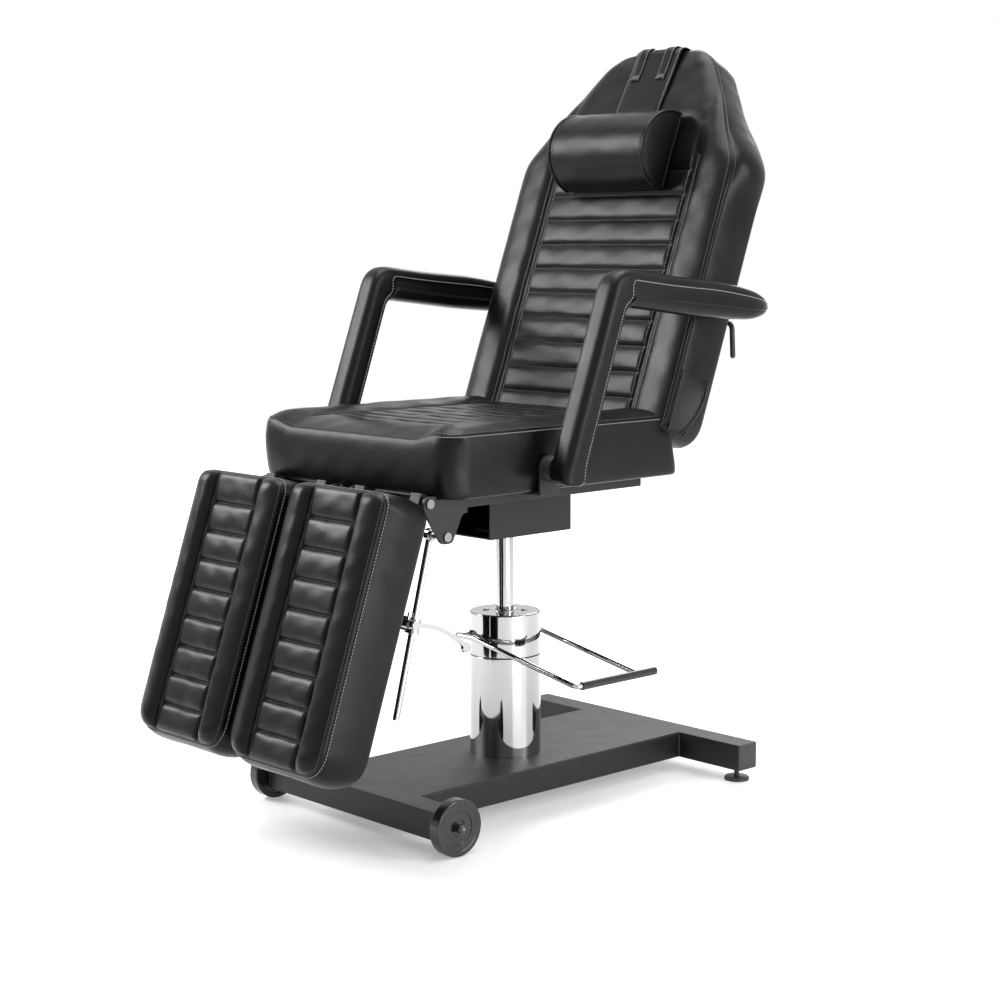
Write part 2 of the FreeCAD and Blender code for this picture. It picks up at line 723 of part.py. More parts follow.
# Leg rest hardware fixed to the seat frame
def leg_brackets():
    y_hinge = column_y - leg_hinge_y
    y_pin = column_y - strut_pin_y
    y_rear = column_y - bracket_rear
    head = leg_hinge_z + bracket_lobe
    foot = leg_hinge_z - bracket_lobe
    ear = [(y_hinge + bracket_lobe, seat_rail_top), (y_hinge + bracket_lobe, head), (y_hinge - bracket_lobe, head)]
    ear_radii = [side_gap, bracket_ear_bend, bracket_lobe - side_gap]
    outline = ear + [(y_hinge - bracket_lobe, foot), (y_pin - bracket_lobe, strut_pin_z - bracket_lobe),
                     (y_pin + bracket_lobe, strut_pin_z - bracket_lobe),
                     (y_rear - bracket_step / 2, leg_hinge_z - bracket_step), (y_rear, leg_hinge_z - bracket_step),
                     (y_rear, seat_rail_top)]
    radii = ear_radii + [bracket_lobe, bracket_lobe, bracket_lobe, bracket_lobe, side_gap, side_gap]
    outer = plate_x(outline, radii, seat_rail_outer, bracket_plate)
    inner_outline = ear + [(y_hinge - bracket_lobe, foot), (y_hinge + bracket_lobe, foot),
                           (y_rear, seat_rail_bottom - bracket_plate), (y_rear, seat_rail_top)]
    inner_radii = ear_radii + [bracket_lobe - side_gap, bracket_lobe / 2, side_gap, side_gap]
    inner = plate_x(inner_outline, inner_radii, inner_bracket_x - bracket_plate, bracket_plate)
    member = box(-seat_rail_outer, seat_rail_outer, column_y - seat_rail_front, y_rear + overrun,
                 seat_rail_bottom, seat_rail_top)
    inner = inner.cut(member)
    hole = across(0, seat_rail_outer * 2, y_hinge, leg_hinge_z, hinge_pin_radius)
    pin_hole = across(0, seat_rail_outer * 2, y_pin, strut_pin_z, hinge_pin_radius)
    outer = outer.cut(hole).cut(pin_hole)
    inner = inner.cut(hole)
    save(Part.makeCompound([outer, mirrored(outer), inner, mirrored(inner)]), "leg_hinge_brackets")
    outside = seat_rail_outer + bracket_plate
    tube_half = leg_tube_side / 2
    long_pin = across(leg_outer_tube_x - tube_half, outside, y_hinge, leg_hinge_z, hinge_pin_radius)
    long_pin = long_pin.fuse(across(outside, outside + rivet_head_height, y_hinge, leg_hinge_z, rivet_head_radius))
    inner_pin = across(inner_bracket_x - bracket_plate, leg_inner_tube_x + tube_half, y_hinge, leg_hinge_z,
                       hinge_pin_radius)
    inner_pin = inner_pin.fuse(across(inner_bracket_x - bracket_plate - rivet_head_height,
                                      inner_bracket_x - bracket_plate, y_hinge, leg_hinge_z, rivet_head_radius))
    eye_face = strut_rod_x + strut_eye_width / 2 + side_gap
    strut_pin = across(eye_face, outside, y_pin, strut_pin_z, hinge_pin_radius)
    strut_pin = strut_pin.fuse(across(outside, outside + rivet_head_height, y_pin, strut_pin_z,
                                      rivet_head_radius))
    pins = [long_pin, inner_pin, strut_pin]
    save(Part.makeCompound(pins + [mirrored(p) for p in pins]), "leg_bracket_rivets")


def upright_tube(x, y0, z0, z1, side, wall):
    outer = box(x - side / 2, x + side / 2, y0 - side / 2, y0 + side / 2, z0, z1)
    half = side / 2 - wall
    inner = box(x - half, x + half, y0 - half, y0 + half, z0 - overrun, z1 + overrun)
    return outer.cut(inner)


# Leg rest: drawn upright with the hinge at the origin, Z down along the leg being negative
def clamp_place():
    """Clamp axis in the upright leg frame, from its distance along the sloped rod."""
    turn = math.radians(strut_slope)
    y = column_y - strut_pin_y - clamp_distance * math.sin(turn) - leg_hinge.y
    z = strut_pin_z - clamp_distance * math.cos(turn) - leg_hinge.z
    lean = math.radians(leg_lean)
    return (y * math.cos(lean) - z * math.sin(lean), y * math.sin(lean) + z * math.cos(lean))


def leg_frame():
    """Two square tubes, open below, joined by a top bar and a bar that carries the clamp plate."""
    half = leg_tube_side / 2
    frame = upright_tube(leg_outer_tube_x, 0, -leg_tube_length, leg_tube_end, leg_tube_side, leg_tube_wall)
    frame = frame.fuse(upright_tube(leg_inner_tube_x, 0, -leg_tube_length, leg_tube_end, leg_tube_side,
                                    leg_tube_wall))
    y_clamp, z_clamp = clamp_place()
    x0 = leg_inner_tube_x + half
    x1 = leg_outer_tube_x - half
    for z in (z_clamp, -leg_slide_plate_top):
        bar = box(x0, x1, -half, half, z - half, z + half)
        bar = bar.cut(box(x0 - overrun, x1 + overrun, -half + leg_tube_wall, half - leg_tube_wall,
                          z - half + leg_tube_wall, z + half - leg_tube_wall))
        frame = frame.fuse(bar)
    reach = y_clamp + clamp_radius
    outline = [(half, z_clamp - half), (reach, z_clamp - clamp_radius), (reach, z_clamp + clamp_radius),
               (half, z_clamp + half)]
    plate = plate_x(outline, [side_gap, clamp_radius / 2, clamp_radius / 2, side_gap], clamp_plate_x,
                    bracket_plate)
    plate = plate.cut(across(0, seat_rail_outer, y_clamp, z_clamp, trunnion_radius + running_gap))
    frame = frame.fuse(plate)
    return frame.cut(across(0, seat_rail_outer * 2, 0, 0, hinge_pin_radius + running_gap))


def leg_slide():
    """Two square bars inside the frame's tubes, a foot bar and a plate under the pad's board."""
    bar_half = leg_tube_side / 2 - leg_tube_wall - slide_gap
    foot_z = -leg_tube_length - leg_slide_reach
    shape = None
    for x in (leg_inner_tube_x, leg_outer_tube_x):
        bar = box(x - bar_half, x + bar_half, -bar_half, bar_half, foot_z, foot_z + leg_slide_overlap)
        shape = bar if shape is None else shape.fuse(bar)
    back = -leg_pad_back
    foot = box(leg_inner_tube_x - bar_half, leg_outer_tube_x + bar_half, back, bar_half, foot_z,
               foot_z + leg_slide_bar)
    plate = box(leg_inner_tube_x - bar_half, leg_outer_tube_x + bar_half, back, back + leg_slide_plate,
                foot_z, -leg_slide_plate_top)
    return shape.fuse(foot).fuse(plate)


def pad_points(inset):
    low = -leg_pad_top - leg_pad_length + inset
    high = -leg_pad_top - inset
    return [(leg_pad_inner + inset, low), (leg_pad_outer - inset, low), (leg_pad_outer - inset, high),
            (leg_pad_inner + inset, high)]


def leg_board():
    back = -leg_pad_back
    wire = rounded(pad_points(board_inset / 2), [leg_pad_corner - board_inset / 2] * 4,
                   lambda x, z: V(x, back, z))
    return Part.Face(wire).extrude(V(0, -leg_board_thickness, 0))


def leg_pad():
    """Crowned pad with drawn-in sides and nine sewn segments down its middle."""
    depth = leg_pad_thickness - leg_board_thickness
    start = -leg_pad_back - leg_board_thickness
    levels = [(0, leg_pad_bulge), ((depth - leg_pad_crown) / 2, 0), (depth - leg_pad_crown, leg_pad_bulge),
              (depth - leg_pad_crown / 4, leg_pad_crown_inset / 2), (depth, leg_pad_crown_inset * 2)]
    wires = [rounded(pad_points(inset), [leg_pad_corner - inset / 2] * 4,
                     lambda x, z, y=start - height: V(x, y, z)) for height, inset in levels]
    pad = Part.makeLoft(wires, True, True)
    face = start - depth
    x0 = leg_pad_inner + leg_strip_inset
    x1 = leg_pad_outer - leg_strip_inset
    pitch = (leg_pad_length - 2 * leg_channel_margin) / (leg_channel_count - 1)
    for i in range(leg_channel_count):
        z = -leg_pad_top - leg_channel_margin - pitch * i
        pad = pad.cut(across(x0, x1, face - channel_radius + channel_depth, z, channel_radius))
    return pad


def strut_direction():
    turn = math.radians(strut_slope)
    return V(0, -math.sin(turn), -math.cos(turn))


def strut_rod():
    """Chrome rod hanging from the bracket's lower pin, with a flat eye and its rivet."""
    start = V(strut_rod_x, column_y - strut_pin_y, strut_pin_z)
    shaft = rod(start, start + strut_direction() * strut_rod_length, strut_rod_radius)
    eye = across(strut_rod_x - strut_eye_width / 2, strut_rod_x + strut_eye_width / 2, start.y, start.z,
                 strut_eye_radius)
    head = across(strut_rod_x - strut_eye_width / 2 - rivet_head_height, strut_rod_x - strut_eye_width / 2,
                  start.y, start.z, rivet_head_radius)
    return shaft.fuse(eye).fuse(head)


def strut_clamp():
    """Clamp body on the rod: collar, flange, ear for the lever's bolt, trunnion into the plate."""
    way = strut_direction()
    middle = V(strut_rod_x, column_y - strut_pin_y, strut_pin_z) + way * clamp_distance
    top = middle - way * (clamp_length / 2)
    bottom = middle + way * (clamp_length / 2)
    body = rod(top, bottom, clamp_radius)
    body = body.fuse(rod(bottom, bottom + way * clamp_flange_thickness, clamp_flange_radius))
    forward = V(0, -way.z, way.y) * -1
    ear = rod(middle, middle + forward * clamp_ear_reach, clamp_ear_width / 2)
    body = body.fuse(ear)
    bolt = middle + forward * clamp_ear_reach
    body = body.fuse(across(strut_rod_x - clamp_ear_width / 2, strut_rod_x + clamp_ear_width / 2, bolt.y, bolt.z,
                            clamp_ear_width / 2))
    bolt_end = strut_rod_x + clamp_radius + side_gap * 2 + lever_width
    body = body.fuse(across(strut_rod_x, bolt_end, bolt.y, bolt.z, trunnion_radius))
    body = body.fuse(across(bolt_end, bolt_end + rivet_head_height, bolt.y, bolt.z, rivet_head_radius))
    body = body.fuse(rod(bolt, bolt - way * clamp_post_height, clamp_post_radius))
    body = body.fuse(across(clamp_plate_x - rivet_head_height, strut_rod_x, middle.y, middle.z,
                            trunnion_radius))
    body = body.cut(rod(top - way * overrun * 4, bottom + way * overrun * 4, strut_rod_radius + running_gap))
    return body, bolt


def clamp_lever(bolt):
    """Cast lever: a hub on the clamp's bolt and an arched arm with a thick rounded tip."""
    x0 = strut_rod_x + clamp_radius + side_gap
    hub = across(x0, x0 + lever_width, bolt.y, bolt.z, lever_hub_radius)
    tip_y = bolt.y + lever_reach
    tip_z = bolt.z - lever_drop
    half = lever_thickness / 2
    mid_y = (bolt.y + tip_y) / 2
    mid_z = (bolt.z + tip_z) / 2 + lever_arch
    upper = Part.Arc(V(x0, bolt.y, bolt.z + half), V(x0, mid_y, mid_z + half), V(x0, tip_y, tip_z + half))
    lower = Part.Arc(V(x0, tip_y, tip_z - half), V(x0, mid_y, mid_z - half), V(x0, bolt.y, bolt.z - half))
    ends = [Part.LineSegment(V(x0, tip_y, tip_z + half), V(x0, tip_y, tip_z - half)),
            Part.LineSegment(V(x0, bolt.y, bolt.z - half), V(x0, bolt.y, bolt.z + half))]
    edges = [upper.toShape(), ends[0].toShape(), lower.toShape(), ends[1].toShape()]
    arm = Part.Face(Part.Wire(edges)).extrude(V(lever_width, 0, 0))
    tip = across(x0, x0 + lever_width, tip_y, tip_z, lever_tip_radius)
    lever = hub.fuse(arm).fuse(tip)
    return lever.cut(across(x0 - overrun, x0 + lever_width + overrun, bolt.y, bolt.z,
                            trunnion_radius + running_gap))


def legs():
    clamp, bolt = strut_clamp()
    pieces = {"leg_frame": lean_back(leg_frame(), leg_lean, leg_hinge),
              "leg_slide": lean_back(leg_slide(), leg_lean, leg_hinge),
              "leg_board": lean_back(leg_board(), leg_lean, leg_hinge),
              "leg_pad": lean_back(leg_pad(), leg_lean, leg_hinge),
              "strut_rod": strut_rod(),
              "strut_clamp": clamp,
              "clamp_lever": clamp_lever(bolt)}
    for name, shape in pieces.items():
        save(shape, name + "_left")
        save(mirrored(shape), name + "_right")


# Backrest: drawn upright, Z up along the back, Y to its rear, the front face at Y 0
def back_points(inset):
    top = back_top - inset
    return [(-back_foot_half_width + inset, -back_foot + inset), (back_foot_half_width - inset, -back_foot + inset),
            (back_half_width - inset, 0), (back_half_width - inset, back_shoulder - inset / 2),
            (back_top_half_width - inset / 2, top), (-back_top_half_width + inset / 2, top),
            (-back_half_width + inset, back_shoulder - inset / 2), (-back_half_width + inset, 0)]


def back_radii(inset):
    foot = back_foot_corner / 2 - inset / 4
    shoulder = back_shoulder_radius
    top = back_top_radius - inset / 2
    return [foot, foot, foot, shoulder, top, top, shoulder, foot]


def seat_clear():
    """Wedge that keeps the back off the seat's rear edge and rear face, in the back's upright frame."""
    gap = back_seat_gap
    low = seat_base - gap * 4
    corners = [(0, seat_top + gap), (seat_rear_top - gap, seat_top + gap),
               (seat_rear_top + gap, seat_top - seat_crown), (seat_rear_bottom + gap, seat_base),
               (seat_rear_bottom + gap, low), (0, low)]
    edges = [V(-back_half_width * 2, column_y + y, z) for y, z in corners]
    block = Part.Face(Part.makePolygon(edges + edges[:1])).extrude(V(back_half_width * 4, 0, 0))
    block.translate(back_reference * -1)
    block.rotate(V(0, 0, 0), V(1, 0, 0), back_lean)
    return block


def back_cushion():
    """Crowned cushion with drawn-in sides, a tapered head and sewn cross channels."""
    depth = back_thickness - back_board_thickness
    levels = [(depth, back_bulge), (depth / 2, 0), (back_crown, back_bulge), (back_crown / 4, back_crown_inset / 2),
              (0, back_crown_inset * 2)]
    wires = [rounded(back_points(inset), back_radii(inset), lambda x, z, y=y: V(x, y, z)) for y, inset in levels]
    cushion = Part.makeLoft(wires, True, True)
    for i in range(back_channel_count):
        z = back_channel_start + back_channel_pitch * i
        half = min(back_panel_half, back_half_width - (z - back_shoulder) / 2 - back_crown_inset * 3)
        cushion = cushion.cut(across(-half, half, -channel_radius + channel_depth, z, channel_radius))
    return cushion.cut(seat_clear())


def back_board():
    start = back_thickness - back_board_thickness
    wire = rounded(back_points(back_board_inset), back_radii(back_board_inset), lambda x, z: V(x, start, z))
    board = Part.Face(wire).extrude(V(0, back_board_thickness, 0))
    return board.cut(seat_clear())


def side_pocket():
    """Leather pocket on the near side of the back, its mouth to the rear."""
    x0 = back_half_width + soft_gap
    low = -pocket_bottom
    outline = [(pocket_front, 0), (pocket_mouth_bottom, low), (pocket_mouth_top, pocket_top),
               (pocket_front, pocket_top)]
    radii = [pocket_front, pocket_front, pocket_front / 2, pocket_front / 4]
    return plate_x(outline, radii, x0, pocket_thickness)


def back_frame():
    """Welded frame behind the board, with hinge arms, strut lugs and lever bearings."""
    half = back_tube_side / 2
    y = back_thickness + half
    frame = upright_tube(back_upright_x, y, back_upright_start, back_upright_end, back_tube_side, seat_tube_wall)
    frame = frame.fuse(upright_tube(-back_upright_x, y, back_upright_start, back_upright_end, back_tube_side,
                                    seat_tube_wall))
    span = 2 * (back_upright_x - half)
    for z in (back_upright_start + half, back_bar_high):
        frame = frame.fuse(square_tube_x(span, y, z, back_tube_side, back_tube_side, seat_tube_wall))
    turn = math.radians(back_lean)
    way = back_hinge - back_reference
    pivot_y = way.y * math.cos(turn) - way.z * math.sin(turn)
    pivot_z = way.y * math.sin(turn) + way.z * math.cos(turn)
    y0 = back_thickness
    arm_top = back_upright_start + back_tube_side
    outline = [(y0 + back_tube_side, arm_top), (y0, arm_top), (y0, -back_foot + soft_gap - back_foot / 4),
               (pivot_y - hinge_knuckle_radius, pivot_z + hinge_knuckle_radius / 2),
               (pivot_y - hinge_knuckle_radius, pivot_z - hinge_knuckle_radius),
               (pivot_y + hinge_knuckle_radius, pivot_z - hinge_knuckle_radius), (y0 + back_tube_side, 0)]
    radii = [side_gap, side_gap, side_gap, hinge_knuckle_radius / 4, hinge_knuckle_radius * 2 / 3,
             hinge_knuckle_radius * 2 / 3, hinge_knuckle_radius]
    inner = ear_x - ear_thickness - side_gap
    arm = plate_x(outline, radii, inner, ear_thickness)
    arm = arm.cut(box(-span, span, 0, y0 + back_tube_side * 2, back_upright_start, arm_top + overrun))
    arm = arm.cut(across(0, back_half_width, pivot_y, pivot_z, back_pin_radius + running_gap))
    lug = [(y0 + back_tube_side, strut_high_up - lug_radius - half / 2),
           (strut_high_out + lug_radius, strut_high_up - lug_radius),
           (strut_high_out + lug_radius, strut_high_up + lug_radius), (y0 + back_tube_side, arm_top)]
    lug_plate = plate_x(lug, [side_gap, lug_radius * 2 / 3, lug_radius * 2 / 3, side_gap],
                        gas_eye_width / 2 + side_gap, lug_thickness)
    lug_plate = lug_plate.cut(across(0, back_half_width, strut_high_out, strut_high_up, gas_pin_radius))
    block_y = y0 + back_tube_side
    bearing = box(back_upright_x - half, back_upright_x + half, block_y,
                  lever_shaft_out + lever_block_half, lever_shaft_up - lever_block_half,
                  lever_shaft_up + lever_block_half)
    bearing = bearing.cut(across(0, back_half_width, lever_shaft_out, lever_shaft_up,
                                 lever_shaft_radius + running_gap))
    for piece in (arm, mirrored(arm), lug_plate, mirrored(lug_plate), bearing, mirrored(bearing)):
        frame = frame.fuse(piece)
    pin = across(-gas_eye_width / 2 - side_gap - lug_thickness - rivet_head_height, -gas_eye_width / 2 - side_gap,
                 strut_high_out, strut_high_up, gas_pin_radius)
    return frame.fuse(pin).fuse(mirrored(pin))


def back_ears():
    """Hinge ears that rise behind the seat from its rear cross member."""
    y_low = column_y + seat_rail_rear
    y_pin = back_hinge.y
    y_clear = column_y + seat_rear_bottom + side_gap * 2
    outline = [(y_low, seat_rail_bottom), (y_pin + ear_radius, seat_rail_bottom),
               (y_pin + ear_radius, back_hinge_z + ear_radius), (y_clear, back_hinge_z + ear_radius),
               (y_clear, seat_rail_top - side_gap), (y_low, seat_rail_top - side_gap)]
    radii = [side_gap, ear_radius, ear_radius - side_gap, (back_hinge_y - seat_rear_bottom) / 3, side_gap * 3,
             side_gap]
    ear = plate_x(outline, radii, ear_x, ear_thickness)
    ear = ear.cut(across(0, seat_rail_outer, y_pin, back_hinge_z, back_pin_radius))
    y_lug = column_y + strut_low_y
    lug_outline = [(y_low, seat_rail_top), (y_low, seat_rail_bottom), (y_low + lug_radius, strut_low_z - lug_radius),
                   (y_lug + lug_radius, strut_low_z - lug_radius), (y_lug + lug_radius, strut_low_z + lug_radius),
                   (y_lug - lug_radius, strut_low_z + lug_radius * 2)]
    lug_radii = [side_gap, side_gap, lug_radius / 2, lug_radius * 2 / 3, lug_radius * 2 / 3, lug_radius / 2]
    lug = plate_x(lug_outline, lug_radii, gas_tube_radius + side_gap, lug_thickness)
    lug = lug.cut(across(0, seat_rail_outer, y_lug, strut_low_z, gas_pin_radius))
    save(Part.makeCompound([ear, mirrored(ear), lug, mirrored(lug)]), "back_hinge_ears")
    inner = ear_x - ear_thickness - side_gap
    pin = across(inner, ear_x + ear_thickness, y_pin, back_hinge_z, back_pin_radius)
    pin = pin.fuse(across(ear_x + ear_thickness, ear_x + ear_thickness + rivet_head_height, y_pin, back_hinge_z,
                          rivet_head_radius))
    lug_end = gas_tube_radius + side_gap + lug_thickness
    strut_pin = across(-lug_end - rivet_head_height, lug_end + rivet_head_height, y_lug, strut_low_z,
                       gas_pin_radius)
    save(Part.makeCompound([pin, mirrored(pin), strut_pin]), "back_hinge_pins")


def recline_strut():
    """Gas strut from the seat's lugs to the back frame's lugs; its upper eye lies between the pin stubs."""
    low = V(0, column_y + strut_low_y, strut_low_z)
    high = leaned(strut_high_out, strut_high_up, back_lean, back_reference)
    way = high - low
    way.normalize()
    eye_half = gas_eye_width / 2
    tube_start = low + way * gas_neck_length
    tube = rod(tube_start, tube_start + way * gas_tube_length, gas_tube_radius)
    tube = tube.fuse(rod(low, tube_start, gas_neck_radius))
    low_half = gas_tube_radius - side_gap
    tube = tube.fuse(across(-low_half, low_half, low.y, low.z, gas_eye_radius))
    tube = tube.cut(across(-gas_tube_length, gas_tube_length, low.y, low.z, gas_pin_radius + running_gap))
    bore_start = tube_start + way * gas_neck_radius
    tube = tube.cut(rod(bore_start, low + way * (gas_tube_length * 2), gas_rod_radius + running_gap))
    save(tube, "recline_strut_tube")
    rod_start = low + way * (gas_tube_length * 4 / 5)
    piston = rod(rod_start, high, gas_rod_radius)
    piston = piston.fuse(across(-eye_half, eye_half, high.y, high.z, gas_eye_radius))
    save(piston, "recline_strut_rod")


def recline_lever():
    """Bent rod: a shaft in the frame's bearing and a hanging hand arm."""
    points = [V(-lever_shaft_inner, lever_shaft_out, lever_shaft_up),
              V(lever_shaft_outer, lever_shaft_out, lever_shaft_up),
              V(lever_shaft_outer, lever_arm_out, lever_arm_up)]
    shaft = bent_rod(points, [lever_arm_bend], lever_shaft_radius)
    end = Part.makeSphere(lever_shaft_radius, points[2])
    return shaft.fuse(end)


def head_pillow():
    """D-section pillow that rests flat on the back."""
    half = pillow_height / 2
    lip = -strap_thickness - soft_gap * 2
    outline = [(lip, pillow_middle - half), (lip, pillow_middle + half),
               (lip - pillow_lip, pillow_middle + half), (-pillow_depth, pillow_middle + half / 2),
               (-pillow_depth, pillow_middle - half / 2), (lip - pillow_lip, pillow_middle - half)]
    radii = [pillow_lip / 2, pillow_lip / 2, pillow_lip, half / 2, half / 2, pillow_lip]
    return plate_x(outline, radii, -pillow_half_length, pillow_half_length * 2)


def pillow_strap():
    """Wide strap from behind the pillow over the head of the back and down its rear."""
    front = -soft_gap
    rear = back_thickness + soft_gap
    top = back_top + soft_gap
    low = strap_front_end - overrun * 4
    core = plate_x([(front, low), (rear, low), (rear, top), (front, top)],
                   [side_gap, side_gap, strap_rear_bend, strap_front_bend], -strap_half_width * 2,
                   strap_half_width * 4)
    skin = plate_x([(front - strap_thickness, low), (rear + strap_thickness, low),
                    (rear + strap_thickness, top + strap_thickness),
                    (front - strap_thickness, top + strap_thickness)],
                   [side_gap, side_gap, strap_rear_bend + strap_thickness, strap_front_bend + strap_thickness],
                   -strap_half_width, strap_half_width * 2)
    skin = skin.cut(core)
    reach = strap_half_width * 4
    skin = skin.cut(box(-reach, reach, -reach, back_thickness / 2, low - overrun, strap_front_end))
    return skin.cut(box(-reach, reach, back_thickness / 2, back_thickness * 2, low - overrun, strap_rear_end))


def back():
    pieces = {"back_cushion": back_cushion(), "back_board": back_board(), "side_pocket": side_pocket(),
              "back_frame": back_frame(), "recline_lever": recline_lever(), "head_pillow": head_pillow(),
              "pillow_strap": pillow_strap()}
    for name, shape in pieces.items():
        save(lean_back(shape, back_lean, back_reference), name)


# Arm rests: a steel core in a padded leather cover, turning on a hub beside the seat
def arm_outline(inset):
    """Side outline of the arm, drawn in by an inset."""
    radius = arm_foot_radius - inset
    foot_z = arm_hub_z - radius
    return [(column_y - arm_hub_y - radius, foot_z), (column_y - arm_hub_y + radius, foot_z),
            (column_y - arm_inner_corner_y - inset, arm_hub_z + arm_inner_corner_rise + inset),
            (column_y + arm_under_rear_y, arm_hub_z + arm_under_rear_rise + inset),
            (column_y + arm_tip_y - inset * 2, arm_hub_z + arm_tip_rise),
            (column_y + arm_top_rear_y - inset, arm_hub_z + arm_top_rear_rise - inset),
            (column_y - arm_front_corner_y + inset, arm_hub_z + arm_front_corner_rise - inset)]


def arms():
    radii = [arm_foot_radius * 2 / 3, arm_foot_radius * 2 / 3, arm_inner_bend, arm_outer_bend, arm_tip_radius,
             arm_outer_bend, arm_outer_bend]
    cover = plate_x(arm_outline(0), radii, arm_inner, arm_width)
    rims = [e for e in cover.Edges if e.BoundBox.XLength < running_gap]
    cover = cover.makeFillet(arm_edge_radius, rims)
    core_x = arm_inner + (arm_width - arm_core_width) / 2
    inset = arm_core_inset
    core_radii = [(arm_foot_radius - inset) * 2 / 3, (arm_foot_radius - inset) * 2 / 3, arm_inner_bend + inset / 2,
                  arm_outer_bend - inset, arm_tip_radius / 2, arm_outer_bend - inset, arm_outer_bend - inset]
    core = plate_x(arm_outline(inset), core_radii, core_x, arm_core_width)
    hub_y = column_y - arm_hub_y
    core = core.fuse(across(core_x, core_x + arm_core_width, hub_y, arm_hub_z, arm_boss_radius))
    bore = across(arm_inner - overrun, core_x + arm_core_width, hub_y, arm_hub_z, arm_pin_radius + running_gap)
    cover = cover.cut(core).cut(across(arm_inner - overrun, core_x, hub_y, arm_hub_z,
                                       arm_pin_radius + side_gap))
    core = core.cut(bore)
    pin_end = core_x + arm_core_width - side_gap
    plate_x0 = seat_half_width + arm_bracket_gap
    hub_x0 = plate_x0 + arm_bracket_thickness
    hub = across(hub_x0, arm_inner - slide_gap, hub_y, arm_hub_z, arm_hub_radius)
    hub = hub.fuse(across(arm_inner - slide_gap, pin_end, hub_y, arm_hub_z, arm_pin_radius))
    low = seat_rail_top - arm_bracket_thickness
    half = arm_bracket_width / 2
    top = arm_hub_z + half
    wall = plate_x([(hub_y - half, low), (hub_y + half, low), (hub_y + half, top), (hub_y - half, top)],
                   [side_gap, side_gap, half - side_gap, half - side_gap], plate_x0, arm_bracket_thickness)
    foot = box(seat_rail_outer, plate_x0, hub_y - half, hub_y + half, low, seat_rail_top)
    bracket = wall.fuse(foot)
    save(both_sides(bracket), "arm_brackets")
    save(both_sides(hub), "arm_hubs")
    for name, shape in (("arm_cover", cover), ("arm_core", core)):
        save(shape, name + "_left")
        save(mirrored(shape), name + "_right")


base_frame()
end_caps()
wheels()
feet()
pump()
pedal()
ram_and_hub()
seat_frame()
seat_cushion()
leg_brackets()
legs()
back()
back_ears()
recline_strut()
arms()
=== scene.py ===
import json
import math

import bmesh
import bpy
import numpy as np
from mathutils import Matrix, Vector


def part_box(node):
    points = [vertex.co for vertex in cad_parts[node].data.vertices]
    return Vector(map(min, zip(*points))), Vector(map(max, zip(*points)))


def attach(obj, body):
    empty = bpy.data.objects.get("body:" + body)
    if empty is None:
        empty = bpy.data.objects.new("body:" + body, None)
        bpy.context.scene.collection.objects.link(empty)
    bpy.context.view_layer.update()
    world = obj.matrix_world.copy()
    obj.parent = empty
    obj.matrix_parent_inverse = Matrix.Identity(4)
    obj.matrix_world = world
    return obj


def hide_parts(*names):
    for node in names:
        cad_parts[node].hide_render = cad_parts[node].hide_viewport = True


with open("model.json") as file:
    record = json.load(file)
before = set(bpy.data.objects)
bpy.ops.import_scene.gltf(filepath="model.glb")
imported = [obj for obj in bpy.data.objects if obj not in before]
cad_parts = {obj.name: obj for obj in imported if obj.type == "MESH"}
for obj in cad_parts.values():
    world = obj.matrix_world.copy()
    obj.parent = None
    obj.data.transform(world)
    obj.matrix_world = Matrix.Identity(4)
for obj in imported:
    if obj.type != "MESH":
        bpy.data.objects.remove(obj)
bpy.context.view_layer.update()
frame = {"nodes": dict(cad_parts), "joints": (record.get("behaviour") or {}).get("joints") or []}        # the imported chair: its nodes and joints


# Base frame: two crossbars and two rails of square steel tube, welded into an H and closed by a flat plate.
# It is blasted and powder coated satin black, so it has a fine orange peel and rounded edges that catch the light,
# with a painted highlight, a paler colour, along them.
def add(tree, kind, inputs=(), **settings):
    """One node of a material: settings are its own values, inputs its sockets' values or what feeds them."""
    node = tree.nodes.new(kind)
    for key, value in settings.items():
        setattr(node, key, value)
    for socket, value in dict(inputs).items():
        if isinstance(value, bpy.types.NodeSocket):
            tree.links.new(value, node.inputs[socket])
        else:
            node.inputs[socket].default_value = value
    return node


def start_group(name, numbers, results):
    """A shader node group that takes a Vector and some numbers, with its input node and what it hands out."""
    tree = bpy.data.node_groups.new(name, "ShaderNodeTree")
    tree.interface.new_socket(name="Vector", in_out="INPUT", socket_type="NodeSocketVector")
    for socket, value in numbers.items():
        made = tree.interface.new_socket(name=socket, in_out="INPUT", socket_type="NodeSocketFloat")
        made.default_value = value
    for socket, kind in results.items():
        tree.interface.new_socket(name=socket, in_out="OUTPUT", socket_type="NodeSocket" + kind)
    return tree, tree.nodes.new("NodeGroupInput").outputs, tree.nodes.new("NodeGroupOutput").inputs


def cloudy_group():
    """Cloud noise of a scale, stretched to run from Low to High."""
    tree, given, result = start_group("cloudy", {"Scale": 10, "Detail": 2, "Low": 0, "High": 1}, {"Value": "Float"})
    noise = add(tree, "ShaderNodeTexNoise", {"Vector": given["Vector"], "Scale": given["Scale"],
                                             "Detail": given["Detail"]})
    spread = add(tree, "ShaderNodeMapRange", {"Value": noise.outputs["Fac"], "From Min": 0.3, "From Max": 0.7,
                                              "To Min": given["Low"], "To Max": given["High"]})
    tree.links.new(spread.outputs["Result"], result["Value"])


